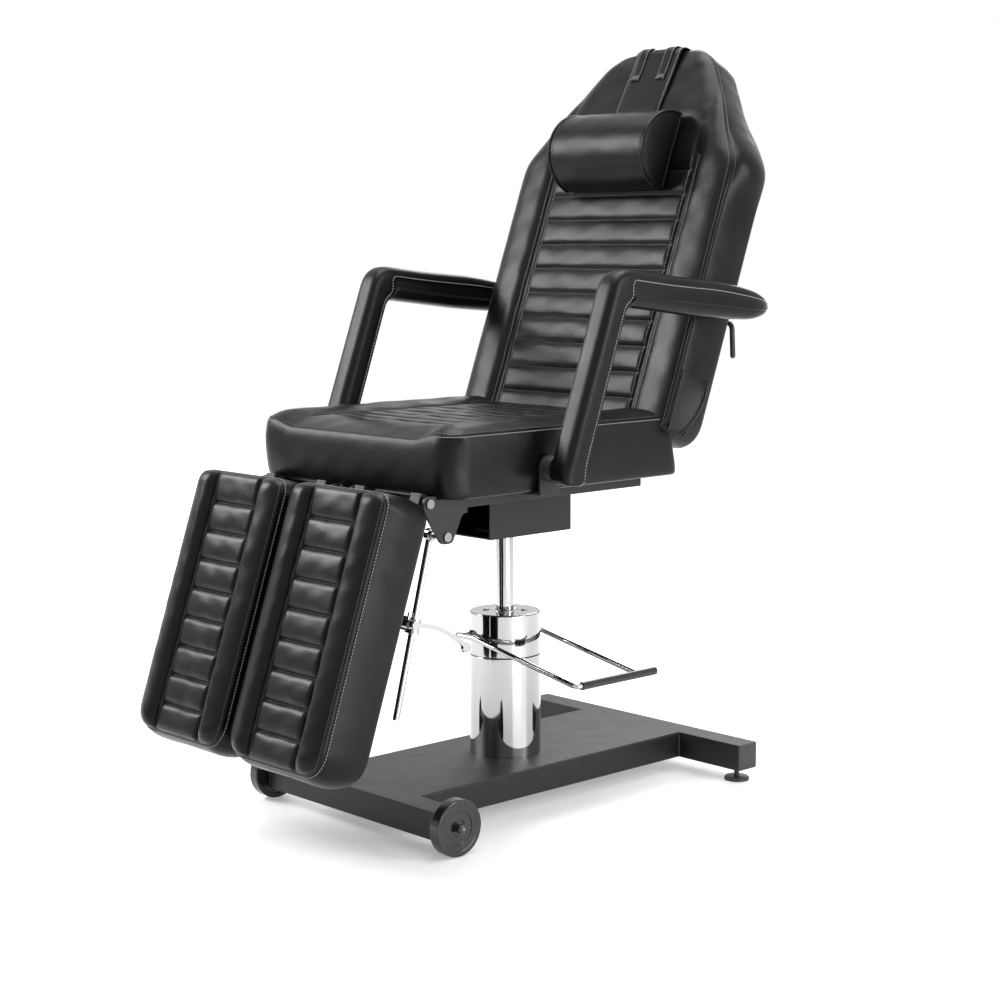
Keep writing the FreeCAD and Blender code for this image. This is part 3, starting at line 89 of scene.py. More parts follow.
def edges_group():
    """Edges rounded by a radius: the rounded normal, and a mask that is 1 where it leaves the flat one."""
    tree, given, result = start_group("rounded_edges", {"Radius": 0.0015}, {"Mask": "Float", "Normal": "Vector"})
    soft = add(tree, "ShaderNodeBevel", {"Radius": given["Radius"]}, samples=4)
    flat = add(tree, "ShaderNodeNewGeometry")
    same = add(tree, "ShaderNodeVectorMath", {0: soft.outputs["Normal"], 1: flat.outputs["Normal"]},
               operation="DOT_PRODUCT")
    mask = add(tree, "ShaderNodeMapRange", {"Value": same.outputs["Value"], "From Min": 0.995, "From Max": 0.85})
    tree.links.new(mask.outputs["Result"], result["Mask"])
    tree.links.new(soft.outputs["Normal"], result["Normal"])


cloudy_group()
edges_group()


def place_group(tree, name, inputs=()):
    """A node group placed in a material with this material's own values; gives its outputs."""
    return add(tree, "ShaderNodeGroup", inputs, node_tree=bpy.data.node_groups[name]).outputs


def clouds(tree, where, scale, low=0, high=1, detail=2):
    """Value of the cloudy group at a scale, from low to high."""
    return place_group(tree, "cloudy", {"Vector": where, "Scale": scale, "Detail": detail, "Low": low,
                                        "High": high})["Value"]


def dented(tree, height, strength, distance, normal=None):
    """Normal of a surface dented by a height, over another normal where one is given."""
    inputs = {"Strength": strength, "Distance": distance, "Height": height}
    if normal is not None:
        inputs["Normal"] = normal
    return add(tree, "ShaderNodeBump", inputs).outputs["Normal"]


def start_material(name, **constants):
    """A material with one Principled shader, its even values set on its sockets, and Object coordinates."""
    material = bpy.data.materials.new(name)
    material.use_nodes = True
    tree = material.node_tree
    shader = tree.nodes["Principled BSDF"]
    for socket, value in constants.items():
        shader.inputs[socket.replace("_", " ")].default_value = value
    return material, tree, add(tree, "ShaderNodeTexCoord").outputs["Object"]


def finished(material, colour, normal, gloss=None):
    """The material, with its shader's colour and normal, and its roughness where it changes, fed from these."""
    tree = material.node_tree
    shader = tree.nodes["Principled BSDF"].inputs
    for socket, source in (("Base Color", colour), ("Normal", normal), ("Roughness", gloss)):
        if source is not None:
            tree.links.new(source, shader[socket])
    return material


def dress(material, *pieces):
    """Pieces, or nodes of the frame by name, get the material."""
    for piece in pieces:
        mesh = (frame["nodes"][piece] if isinstance(piece, str) else piece).data
        mesh.materials.clear()
        mesh.materials.append(material)


def fasten(piece, material, body, slot, *stood_for):
    """A piece gets its material and its body, and the CAD nodes that it stands for are hidden. The slot is not used.
    """
    dress(material, piece)
    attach(piece, body)
    if stood_for:
        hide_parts(*stood_for)


def coated(name, dark, pale, rough_low, rough_high):
    """Sprayed coat on steel: tiny peel, slow change of gloss, rounded edges with a paler colour painted on them as a
    highlight.
    """
    material, tree, where = start_material(name, Specular_IOR_Level=0.3)
    edge = place_group(tree, "rounded_edges", {"Radius": 0.0026})
    # Along the rounded edges the colour is mixed towards pale: a painted highlight.
    colour = add(tree, "ShaderNodeMix", {"Factor": edge["Mask"], "A": clouds(tree, where, 7, dark * 0.9, dark, 3),
                                         "B": pale}, data_type="FLOAT")
    peel = dented(tree, clouds(tree, where, 900, detail=1), 0.25, 0.0002, edge["Normal"])
    return finished(material, colour.outputs["Result"], peel, clouds(tree, where, 24, rough_low, rough_high, 4))


# Its pale value is the colour of the painted highlight along the edges.
powder_black = coated("powder_black", 0.008, 0.05, 0.42, 0.48)
dress(powder_black, "front_crossbar", "rear_crossbar", "base_side_rails", "base_top_plate")


def quads(index):
    """Faces of a grid of point numbers, one for each square of four neighbours."""
    return np.stack((index[:-1, :-1], index[1:, :-1], index[1:, 1:], index[:-1, 1:]), -1).reshape(-1, 4)


def mesh_piece(name, *parts, mirror=False):
    """One piece from parts, each an array of points and one of faces; a mirrored one has x turned to -x."""
    points, faces, first = [], [], 0
    for part_points, part_faces in parts:
        points.append(part_points.reshape(-1, 3))
        faces.extend((part_faces + first).tolist())
        first += len(points[-1])
    points = np.concatenate(points)
    if mirror:
        points = points * (-1, 1, 1)
        faces = [face[::-1] for face in faces]
    mesh = bpy.data.meshes.new(name)
    mesh.from_pydata(points.tolist(), [], faces)
    shape = bmesh.new()
    shape.from_mesh(mesh)
    bmesh.ops.remove_doubles(shape, verts=shape.verts, dist=1e-6)
    shape.to_mesh(mesh)
    shape.free()
    mesh.shade_smooth()
    piece = bpy.data.objects.new(name, mesh)
    bpy.context.scene.collection.objects.link(piece)
    return piece


def grid_part(points, closed_v=False):
    """Points and faces of a grid surface, its last column joined to the first where it is closed."""
    index = np.arange(points.shape[0] * points.shape[1]).reshape(points.shape[:2])
    if closed_v:
        index = np.hstack((index, index[:, :1]))
    return points.reshape(-1, 3), quads(index)


def frames_along(path, reference):
    """Unit directions along a path of points, and two directions across it, turned from a reference."""
    ahead = np.gradient(path, axis=0)
    ahead /= np.linalg.norm(ahead, axis=1)[:, None]
    side = np.cross(ahead, reference)
    side /= np.linalg.norm(side, axis=1)[:, None]
    return ahead, side, np.cross(side, ahead)


def tube_part(path, radii, reference=(0.31, 0.52, 0.79), around=20):
    """Round tube: at each point of the path a circle, path + radius (side cos a + up sin a), its ends shut."""
    path = np.concatenate((path[:1], path, path[-1:]))
    radii = np.pad(np.broadcast_to(radii, len(path) - 2).astype(float), 1)
    spaced = path + np.arange(len(path))[:, None] * 1e-9
    _, side, up = frames_along(spaced, reference)
    side[0], up[0], side[-1], up[-1] = side[1], up[1], side[-2], up[-2]
    turn = 2 * np.pi * np.arange(around) / around
    ring = side[:, None] * np.cos(turn)[:, None] + up[:, None] * np.sin(turn)[:, None]
    return grid_part(path[:, None] + ring * radii[:, None, None], closed_v=True)


# Weld beads where the rails meet the crossbars: steel, laid by hand as short runs of ripples.
# They are powder coated together with the frame, in the same satin black.
bead_radius = 0.0028
bead_ripple = 0.0032


def bead(start, end):
    """Tube whose radius ripples along it: r (1 + 0.12 sin(2 pi s / ripple))."""
    start, end = np.array(start), np.array(end)
    length = np.linalg.norm(end - start)
    share = np.linspace(0, 1, int(length / bead_ripple * 6))
    radii = bead_radius * (1 + 0.12 * np.sin(2 * np.pi * share * length / bead_ripple))
    return tube_part(start + (end - start) * share[:, None], radii, around=10)


rail_low, rail_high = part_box("base_side_rails")
weld_lines = [((side * rail_high.x, y, rail_low.z + 0.001), (side * rail_high.x, y, rail_high.z))
              for side in (-1, 1) for y in (rail_low.y, rail_high.y)]
base_welds = mesh_piece("base_welds", *[bead(a, b) for a, b in weld_lines])
fasten(base_welds, powder_black, "base", "frame_paint")


# End caps, levelling feet and pedal grip: injection-moulded black plastic with a fine eroded texture.
# The caps are pushed into the tube ends, the feet screwed in below, the grip pulled over the pedal's bar.
def moulded(name, tone, rough, fleck):
    """Moulded plastic: even dark colour, spark-eroded texture and soft moulding edges."""
    material, tree, where = start_material(name)
    edge = place_group(tree, "rounded_edges", {"Radius": 0.0012})
    texture = dented(tree, clouds(tree, where, fleck, detail=3), 0.2, 0.0002, edge["Normal"])
    return finished(material, clouds(tree, where, 12, tone * 0.8, tone * 1.2), texture,
                    clouds(tree, where, 40, rough - 0.06, rough + 0.06))


cap_plastic = moulded("cap_plastic", 0.022, 0.46, 1400)
grip_rubber = moulded("grip_rubber", 0.006, 0.26, 700)
dress(cap_plastic, "tube_end_caps", "foot_left", "foot_right")
dress(grip_rubber, "pedal_grip")


# Transport wheels: solid black wheels turned about a bolt, with two shallow steps in each face.
# The bolts carry blackened acorn nuts outside and a shoulder against the tube's end cap.
def eased(points, reach, steps=6):
    """A line whose corners are eased by a parabola from a to b: (1-t)^2 a + 2 t (1-t) corner + t^2 b,
    with a and b the given reach before and after the corner, or 0.45 of the run where that is shorter."""
    points = np.array(points, float)
    corner, before, after = points[1:-1], points[:-2], points[2:]
    run_in = np.linalg.norm(before - corner, axis=1)[:, None]
    run_out = np.linalg.norm(after - corner, axis=1)[:, None]
    a = corner + (before - corner) * np.minimum(reach / run_in, 0.45)
    b = corner + (after - corner) * np.minimum(reach / run_out, 0.45)
    t = np.linspace(0, 1, steps)[None, :, None]
    bend = (1 - t) ** 2 * a[:, None] + 2 * t * (1 - t) * corner[:, None] + t ** 2 * b[:, None]
    return np.concatenate((points[:1], bend.reshape(-1, points.shape[1]), points[-1:]))


def held_corners(profile, near=0.0004):
    """A profile with two more points in each long run, close to its ends, so that its corners stay crisp."""
    profile = np.array(profile, float)
    start, end = profile[:-1], profile[1:]
    length = np.linalg.norm(end - start, axis=1)[:, None]
    share = np.minimum(near / np.maximum(length, 1e-9), 0.2)
    runs = np.stack((start, start + (end - start) * share, end - (end - start) * share), 1)
    return np.concatenate((runs.reshape(-1, 2), profile[-1:]))


def turned_part(profile, centre, axis, around=96):
    """Surface of revolution: centre + axis a + r (e1 cos v + e2 sin v) for each (r, a) of the profile."""
    profile = held_corners(profile)
    axis = np.array(axis, float)
    first = np.cross(axis, (0.0, 0.6, 0.8))
    first /= np.linalg.norm(first)
    second = np.cross(axis, first)
    turn = 2 * np.pi * np.arange(around) / around
    ring = first * np.cos(turn)[:, None] + second * np.sin(turn)[:, None]
    points = np.array(centre) + profile[:, 1, None, None] * axis + profile[:, 0, None, None] * ring
    return grid_part(points, closed_v=True)


wheel_face_steps = [(0.0, 0.0060), (0.0145, 0.0060), (0.0150, 0.0035), (0.0290, 0.0035), (0.0295, 0.0012),
                    (0.0405, 0.0012), (0.0415, 0.0)]
wheel_shoulder = 0.004
wheel_bore = 0.0061
wheel_easing = 0.0011


def wheel_part(node, bore):
    """Half profile of a face, from bore to shoulder, and its mirror image, turned about the axle."""
    low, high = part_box(node)
    half = (high.x - low.x) / 2
    radius = (high.z - low.z) / 2
    face = [(max(r, bore), half - sink) for r, sink in wheel_face_steps]
    face.append((radius - wheel_shoulder / 4, half))
    face.append((radius, half - wheel_shoulder / 2))
    there = face + [(r, -a) for r, a in reversed(face)]
    profile = eased(there + [(bore, half - wheel_face_steps[0][1])], wheel_easing, 4)
    profile = np.concatenate((profile, profile[:1]))
    centre = ((low.x + high.x) / 2, (low.y + high.y) / 2, (low.z + high.z) / 2)
    return turned_part(profile[::-1], centre, (1, 0, 0))


def rubber(name):
    """Solid rubber: near black, satin, with scuffed patches that are duller and a little greyer."""
    material, tree, where = start_material(name)
    scuff = clouds(tree, where, 60, -0.6, 1, 5)
    gloss = add(tree, "ShaderNodeMapRange", {"Value": scuff, "To Min": 0.15, "To Max": 0.30})
    return finished(material, clouds(tree, where, 25, 0.009, 0.016, 4), dented(tree, scuff, 0.1, 0.0003),
                    gloss.outputs["Result"])


wheel_rubber = rubber("wheel_rubber")
for side in ("left", "right"):
    wheel = mesh_piece("turned_wheel_" + side, wheel_part("wheel_" + side, wheel_bore))
    fasten(wheel, wheel_rubber, "wheel_" + side, "wheel_rubber", "wheel_" + side)


def bare_metal(name, tone, rough_low, rough_high, streak):
    """Metal with a polish that changes slowly and fine marks: streak is how many of them in a metre."""
    material, tree, where = start_material(name, Metallic=1.0)
    edge = place_group(tree, "rounded_edges", {"Radius": 0.0006})
    marks = dented(tree, clouds(tree, where, streak, detail=3), 0.04, 0.0001, edge["Normal"])
    return finished(material, clouds(tree, where, 9, tone * 0.95, tone), marks,
                    clouds(tree, where, 30, rough_low, rough_high, 5))


black_oxide = bare_metal("black_oxide", 0.10, 0.28, 0.4, 500)
zinc = bare_metal("zinc_plate", 0.24, 0.2, 0.32, 300)
dress(black_oxide, "axle_bolts", "axle_nuts", "foot_lock_nuts")


# Hydraulic pump: a drawn steel cover and cap, both mirror chromed, over a turned barrel with its guide bush.
# The ram is ground steel with hard chrome; four small screws hold the cap.
chrome = bare_metal("mirror_chrome", 0.37, 0.035, 0.07, 150)
turned_steel = bare_metal("turned_steel", 0.5, 0.25, 0.4, 900)
dress(turned_steel, "pump_barrel", "guide_bush", "pump_plunger")
dress(zinc, "pump_cap_screws")
column_axis = (0, 0, 1)
cover_low, cover_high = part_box("pump_cover")
cap_low, cap_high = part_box("pump_cap")
ram_low, ram_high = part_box("lift_ram")
column_foot = ((cover_low.x + cover_high.x) / 2, (cover_low.y + cover_high.y) / 2, 0)
pump_wall = 0.002
pump_joint = 0.0004
cover_easing, cap_easing, cap_foot_easing = 0.0012, 0.0032, 0.0012
cap_plate = 0.004
cap_groove_outer, cap_groove_inner, cap_groove_depth, cap_groove_slope = 0.0265, 0.022, 0.0012, 0.0005
ram_room, ram_room_easing = 0.018, 0.0006
ram_radius, ram_piston, ram_easing = 0.017, 0.02, 0.001


def chromed_turning(name, outline, node, body, around):
    """A turned piece whose (radius, height) outline is given from the foot up, in mirror chrome."""
    profile = np.array(outline, float)[::-1]
    fasten(mesh_piece(name, turned_part(profile, column_foot, column_axis, around)), chrome, body, "pump_chrome", node)


def rounded_edge(radius, height, size, steps=7):
    """Quarter circle from a wall of that radius over to the flat top at that height."""
    turn = np.linspace(0, np.pi / 2, steps)
    return [(radius - size + size * math.cos(a), height - size + size * math.sin(a)) for a in turn]


cover_radius = cover_high.x
cover_bore = cover_radius - pump_wall
cover_rim = cover_high.z - pump_joint
cover_outline = [(cover_bore, cover_low.z), (cover_radius, cover_low.z),
                 *rounded_edge(cover_radius, cover_rim, cover_easing), (cover_bore, cover_rim),
                 (cover_bore, cover_low.z)]
chromed_turning("pump_cover_chromed", cover_outline, "pump_cover", "base", 128)
cap_foot = cap_low.z + pump_joint
cap_outline = [(cover_bore, cap_foot), (cover_radius - 0.001, cap_foot), (cover_radius, cap_foot + cap_foot_easing),
               *rounded_edge(cover_radius, cap_high.z, cap_easing), (cap_groove_outer, cap_high.z),
               (cap_groove_outer - cap_groove_slope, cap_high.z - cap_groove_depth),
               (cap_groove_inner + cap_groove_slope, cap_high.z - cap_groove_depth),
               (cap_groove_inner, cap_high.z), (ram_room + ram_room_easing, cap_high.z),
               (ram_room, cap_high.z - ram_room_easing), (ram_room, cap_high.z - cap_plate),
               (cover_bore, cap_high.z - cap_plate), (cover_bore, cap_foot)]
chromed_turning("pump_cap_chromed", cap_outline, "pump_cap", "base", 128)
ram_outline = [(0, ram_low.z), (ram_high.x, ram_low.z), (ram_high.x, ram_low.z + ram_piston),
               (ram_radius, ram_low.z + ram_piston), (ram_radius, ram_high.z - ram_easing),
               (ram_radius - ram_easing, ram_high.z), (0, ram_high.z)]
chromed_turning("ram_ground", ram_outline, "lift_ram", "ram", 96)
dress(chrome, "pedal_loop")


# Under-seat carriage: swivel hub, folded steel box, seat rails, cross members and the leg hinge plates.
# They are cut, bent, welded and powder coated; rivets and hinge pins are zinc plated.
dress(powder_black, "swivel_hub", "under_seat_box", "seat_rails", "seat_cross_members", "leg_hinge_brackets",
      "leg_frame_left", "leg_frame_right", "leg_slide_left", "leg_slide_right", "back_frame", "back_hinge_ears",
      "arm_brackets", "arm_core_left", "arm_core_right")
dress(zinc, "leg_bracket_rivets", "back_hinge_pins")
dress(chrome, "strut_rod_left", "strut_rod_right", "clamp_lever_left", "clamp_lever_right", "strut_clamp_left",
      "strut_clamp_right", "recline_strut_rod")
dress(cap_plastic, "arm_hubs")
# Its pale value, close to its dark one, is a faint painted highlight along the edges.
gloss_black = coated("gloss_black", 0.02, 0.03, 0.14, 0.22)
dress(gloss_black, "recline_strut_tube", "recline_lever")


# Boards of the seat, the leg rests and the back: plywood stained black, with its layers showing at the edges.
# They are sawn to shape, fixed on the steel frames, and carry the foam and the staples of the leather.
def stained_plywood(name):
    """Layers along Z as fine waves, and open grain that the stain fills unevenly."""
    material, tree, where = start_material(name)
    long_grain = add(tree, "ShaderNodeMapping", {"Vector": where, "Scale": (6, 90, 90)})
    layers = add(tree, "ShaderNodeTexWave", {"Vector": where, "Scale": 160, "Distortion": 0.6},
                 bands_direction="Z")
    grain = clouds(tree, long_grain.outputs["Vector"], 4, detail=5)
    both = add(tree, "ShaderNodeMath", {0: layers.outputs["Fac"], 1: grain}, operation="MULTIPLY").outputs[0]
    colour = add(tree, "ShaderNodeMix", {"Factor": both, "A": (0.012, 0.011, 0.010, 1),
                                         "B": (0.045, 0.037, 0.030, 1)}, data_type="RGBA")
    return finished(material, colour.outputs["Result"], dented(tree, both, 0.2, 0.0004),
                    clouds(tree, where, 50, 0.55, 0.75))


plywood = stained_plywood("stained_plywood")
dress(plywood, "seat_board", "leg_board_left", "leg_board_right", "back_board")


# Seat cushion: foam in black faux leather; a top panel with eight sewn channels between two raised bolsters,
# a boxing round the sides, and a double-stitched seam that dips along the front. Stapled under the board.
def grain_group():
    """Pebbled grain: distance to the edge of cells of a size, softened by cloud noise, and slow creases."""
    tree, given, result = start_group("leather_grain", {"Size": 0.0013, "Crease": 30}, {"Height": "Float",
                                                                                       "Slow": "Float"})
    cells_per_metre = add(tree, "ShaderNodeMath", {0: 1.0, 1: given["Size"]}, operation="DIVIDE")
    cells = add(tree, "ShaderNodeTexVoronoi", {"Vector": given["Vector"], "Scale": cells_per_metre.outputs[0]},
                feature="DISTANCE_TO_EDGE")
    pebble = add(tree, "ShaderNodeMapRange", {"Value": cells.outputs["Distance"], "From Max": 0.28},
                 interpolation_type="SMOOTHSTEP")
    noise = add(tree, "ShaderNodeTexNoise", {"Vector": given["Vector"], "Scale": cells_per_metre.outputs[0],
                                             "Detail": 2})
    height = add(tree, "ShaderNodeMath", {0: pebble.outputs["Result"], 1: noise.outputs["Fac"]},
                 operation="MULTIPLY")
    slow = add(tree, "ShaderNodeTexNoise", {"Vector": given["Vector"], "Scale": given["Crease"], "Detail": 4,
                                            "Distortion": 0.4})
    tree.links.new(height.outputs[0], result["Height"])
    tree.links.new(slow.outputs["Fac"], result["Slow"])


grain_group()


def faux_leather(name, dark, pale, rough_low, rough_high):
    """Coated cloth: pebbled grain, slow creases, a satin that wears brighter in patches."""
    material, tree, where = start_material(name, Specular_IOR_Level=0.15)
    grain = place_group(tree, "leather_grain", {"Vector": where})
    pebbled = dented(tree, grain["Height"], 0.22, 0.0004)
    return finished(material, clouds(tree, where, 5, dark, pale, 3), dented(tree, grain["Slow"], 0.17, 0.003, pebbled),
                    clouds(tree, where, 9, rough_low, rough_high, 4))


leather = faux_leather("faux_leather", 0.0032, 0.0058, 0.25, 0.36)


def thread_material(name, tone):
    """Twisted thread: bands across it, pale on the twist and darker between, a painted shade in the grooves."""
    material, tree, where = start_material(name, Roughness=0.55)
    twist = add(tree, "ShaderNodeTexWave", {"Vector": where, "Scale": 900, "Distortion": 1.0},
                bands_direction="DIAGONAL").outputs["Fac"]
    # The colour darkens between the twists: painted shade.
    colour = add(tree, "ShaderNodeMapRange", {"Value": twist, "To Min": tone * 0.6, "To Max": tone})
    return finished(material, colour.outputs["Result"], dented(tree, twist, 0.4, 0.0003))


pale_thread = thread_material("pale_thread", 0.42)
dark_thread = thread_material("dark_thread", 0.07)


def smooth_step(start, end, value):
    """0 before start, 1 after end, and 3 t^2 - 2 t^3 between them."""
    t = np.clip((value - start) / (end - start), 0, 1)
    return t * t * (3 - 2 * t)


def quarter_round(distance, reach):
    """Quarter of an ellipse: 0 and steep at the edge, 1 and level from reach on."""
    return np.sqrt(1 - (1 - np.clip(distance / reach, 0, 1)) ** 2)


def dome(distance, reach):
    """Parabola: 0 and sloping at the edge, 1 and level from reach on."""
    return 1 - (1 - np.clip(distance / reach, 0, 1)) ** 2


def crease(distance, reach):
    """Sewn-down line: 1 on the line, 0 from reach on, (1 - d / reach)^2 between."""
    return (1 - np.clip(np.abs(distance) / reach, 0, 1)) ** 2


def quilt(distance, half):
    """Line between two puffs of a half width: a parabola over the whole puff and a tight fold at the line."""
    return 0.42 * crease(distance, half) + 0.58 * crease(distance, 0.30 * half)


def nearest(value, places):
    """Distance from each value to the nearest of some places."""
    return np.abs(value[..., None] - np.array(places)).min(-1)


def clustered(stops, step):
    """Places from the first stop to the last, drawn together near every stop: a + (b-a) (1 - cos(pi k)) / 2."""
    spans = []
    for a, b in zip(stops[:-1], stops[1:]):
        count = max(3, round(abs(b - a) / step))
        spans.append(a + (b - a) * (1 - np.cos(np.pi * np.arange(count) / count)) / 2)
    return np.append(np.concatenate(spans), stops[-1])


def round_corners(x, y, half, low, high, radius, ends=1.0):
    """Moves a rectangle's grid so that its outline gets round corners, and gives each point's distance inward.
    In a corner, with u and v from 0 to 1 across it, the place is (u sqrt(1 - v v / 2), v sqrt(1 - u u / 2)).
    The distance to the two ends counts the given number of times."""
    radius_x, radius_y = radius
    middle, long = (low + high) / 2, (high - low) / 2
    u = np.clip((np.abs(x) - half + radius_x) / radius_x, 0, 1)
    v = np.clip((np.abs(y - middle) - long + radius_y) / radius_y, 0, 1)
    cu = u * np.sqrt(1 - v * v / 2)
    cv = v * np.sqrt(1 - u * u / 2)
    new_x = np.where(u > 0, np.sign(x) * (half - radius_x + radius_x * cu), x)
    new_y = np.where(v > 0, middle + np.sign(y - middle) * (long - radius_y + radius_y * cv), y)
    lean = cv * cv / np.maximum(cu * cu + cv * cv, 1e-9)
    in_corner = (1 - np.hypot(cu, cv)) * (radius_x + (radius_y * ends - radius_x) * lean)
    straight = np.minimum(half - np.abs(x), ends * (long - np.abs(y - middle)))
    return new_x, new_y, np.where((u > 0) & (v > 0), in_corner, straight)


def rim(grid):
    """The edge of a grid, once round."""
    return np.concatenate((grid[:-1, 0], grid[-1, :-1], grid[:0:-1, -1], grid[0, :0:-1]))


def outward_of(edge, up):
    """Directions out of a closed line of points, square to it and to up."""
    ahead = np.roll(edge, -1, axis=0) - np.roll(edge, 1, axis=0)
    out = np.cross(ahead, np.array(up))
    return out / np.linalg.norm(out, axis=1)[:, None]


def uneven(points, length, height):
    """Slow unevenness of stuffed foam: the mean of six sine waves of about that length, times the height."""
    wave = np.arange(6)
    ways = np.stack((np.cos(2.4 * wave), np.sin(2.4 * wave), np.cos(1.7 * wave + 1)), 1) * (1 + 0.2 * wave)[:, None]
    return height * 2 * np.sin(2 * np.pi * points @ ways.T / length + 1.9 * wave).mean(-1)


def case_part(top, rings, bottom):
    """A closed skin: a top grid, rings of points down its sides and a bottom grid, whose rims the rings join."""
    count = top.shape[0] * top.shape[1]
    index = np.arange(count).reshape(top.shape[:2])
    ring_index = 2 * count + np.arange(rings.shape[0] * rings.shape[1]).reshape(rings.shape[:2])
    side = np.vstack((rim(index)[None], ring_index, rim(index + count)[None]))
    side = np.hstack((side, side[:, :1]))
    faces = np.concatenate((quads(index), quads(side), quads(index + count)[:, ::-1]))
    return np.concatenate((top.reshape(-1, 3), bottom.reshape(-1, 3), rings.reshape(-1, 3))), faces


wall_shares = np.concatenate(([0.004, 0.010, 0.017, 0.028], np.linspace(0.045, 0.93, 16), [0.955, 0.975, 0.99]))
wall_tuck = 0.006


def wall_rings(upper, lower, up, bulge):
    """Rings down a cushion's side, w being 0 at the seam and 1 under the board: swollen by bulge (4w(1-w))^0.6,
    sunk in a groove just below the seam, and turned in at the foot along a quarter circle."""
    out = outward_of(upper, up)
    swell = (4 * wall_shares * (1 - wall_shares)) ** 0.6
    groove = 0.0016 * np.exp(-((wall_shares - 0.011) / 0.007) ** 2)
    turned = wall_tuck * (1 - np.sqrt(1 - np.clip((wall_shares - 0.93) / 0.07, 0, 1) ** 2))
    reach = swell[:, None] * np.broadcast_to(bulge, len(upper)) - (groove + turned)[:, None]
    rings = upper + (lower + out * wall_tuck - upper) * wall_shares[:, None, None] + out * reach[..., None]
    return rings + out * (uneven(rings, 0.13, 0.0008) * np.sin(np.pi * wall_shares)[:, None])[..., None]


def stitch_part(path, outward, pitch=0.0056, length=0.0042, thick=0.0007):
    """Threads along a line, one every pitch: a six-sided spindle of rings 0, r, r, 0, half sunk in the leather."""
    step = np.linalg.norm(np.diff(path, axis=0), axis=1)
    reach = np.concatenate(([0], np.cumsum(step)))
    places = np.arange(pitch / 2, reach[-1], pitch)

    def read(values, at):
        return np.stack([np.interp(at, reach, values[:, k]) for k in range(3)], 1)

    at = read(path, places)
    ahead = read(path, places + pitch / 4) - read(path, places - pitch / 4)
    ahead /= np.linalg.norm(ahead, axis=1)[:, None]
    up = read(outward, places)
    up -= (up * ahead).sum(1)[:, None] * ahead
    up /= np.linalg.norm(up, axis=1)[:, None]
    side = np.cross(ahead, up)
    turn = np.pi * np.arange(6) / 3
    along = np.array([-0.5, -0.34, 0.34, 0.5]) * length
    radii = np.array([0.0, 1.0, 1.0, 0.0]) * thick
    ring = side[:, None] * np.cos(turn)[:, None] + up[:, None] * np.sin(turn)[:, None]
    points = (at[:, None, None] + ahead[:, None, None] * along[:, None, None]
              + ring[:, None] * radii[:, None, None] + up[:, None, None] * thick * 0.4)
    index = np.arange(24).reshape(4, 6)
    one = quads(np.hstack((index, index[:, :1])))
    faces = (one[None] + 24 * np.arange(len(at))[:, None, None]).reshape(-1, 4)
    return points.reshape(-1, 3), faces


def surface_line(surface, x, y, nudge=0.0015):
    """Points of a surface along a line of its own places, and its outward directions there."""
    across = surface(x + nudge, y) - surface(x - nudge, y)
    along = surface(x, y + nudge) - surface(x, y - nudge)
    out = np.cross(across, along)
    return surface(x, y), out / np.linalg.norm(out, axis=-1)[..., None]


def inner_rim(surface, xs, ys, offset):
    """A closed row on a surface, a given offset inside its edge, with its outward directions."""
    sign_x, sign_y = np.sign(xs[-1] - xs[0]), np.sign(ys[-1] - ys[0])
    xs = np.linspace(xs[0] + sign_x * offset, xs[-1] - sign_x * offset, 120)
    ys = np.linspace(ys[0] + sign_y * offset, ys[-1] - sign_y * offset, 220)
    x, y = rim(np.stack(np.meshgrid(xs, ys, indexing="ij"), -1)).T
    return surface_line(surface, x, y)


def closed_row(points, out):
    """A closed line of points joined to its own start, with its outward directions."""
    return np.concatenate((points, points[:1])), np.concatenate((out, out[:1]))


def soft_piece(piece, body, fill, *stood_for):
    fasten(piece, leather, body, "leather", *stood_for)


def sewn_row(name, material, body, *parts, mirror=False):
    """Rows of stitches or piping as one piece that rides with its cushion."""
    fasten(mesh_piece(name, *parts, mirror=mirror), material, body, "leather")


def panels(top, underside, xs, ys, up):
    """A cushion's top grid, its bottom grid and the directions out of the top's edge."""
    grid = np.meshgrid(xs, ys, indexing="ij")
    skin = top(*grid)
    return skin, underside(*grid), outward_of(rim(skin), up)


def tucked_plan(x, y, half, low, high, foot_high, radius):
    """A top's grid as it comes out under the board: drawn in by the tuck, its far end moved to the foot's."""
    start, end = low + wall_tuck, foot_high - wall_tuck
    share = (y - low) / (high - low)
    return round_corners(x * (1 - wall_tuck / half), start + share * (end - start), half - wall_tuck, start, end,
                         (radius, radius))[:2]


seat_low, seat_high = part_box("seat_cushion")
seam_inset = 0.004
seat_half = seat_high.x - seam_inset
seat_front = seat_low.y + seam_inset
seat_rear = seat_high.y - 0.025 - seam_inset
seat_rear_foot = seat_high.y + 0.003
seat_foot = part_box("seat_board")[0].z - 0.0003
seat_front_seam, seat_side_seam = 0.708, 0.7195
seat_panel_top, seat_bolster_top = 0.7265, 0.7355
seat_border = 0.178
seat_pitch = 0.047
seat_radii = 0.036, 0.010
seat_lines = seat_low.y + 0.100 + seat_pitch * np.arange(8)


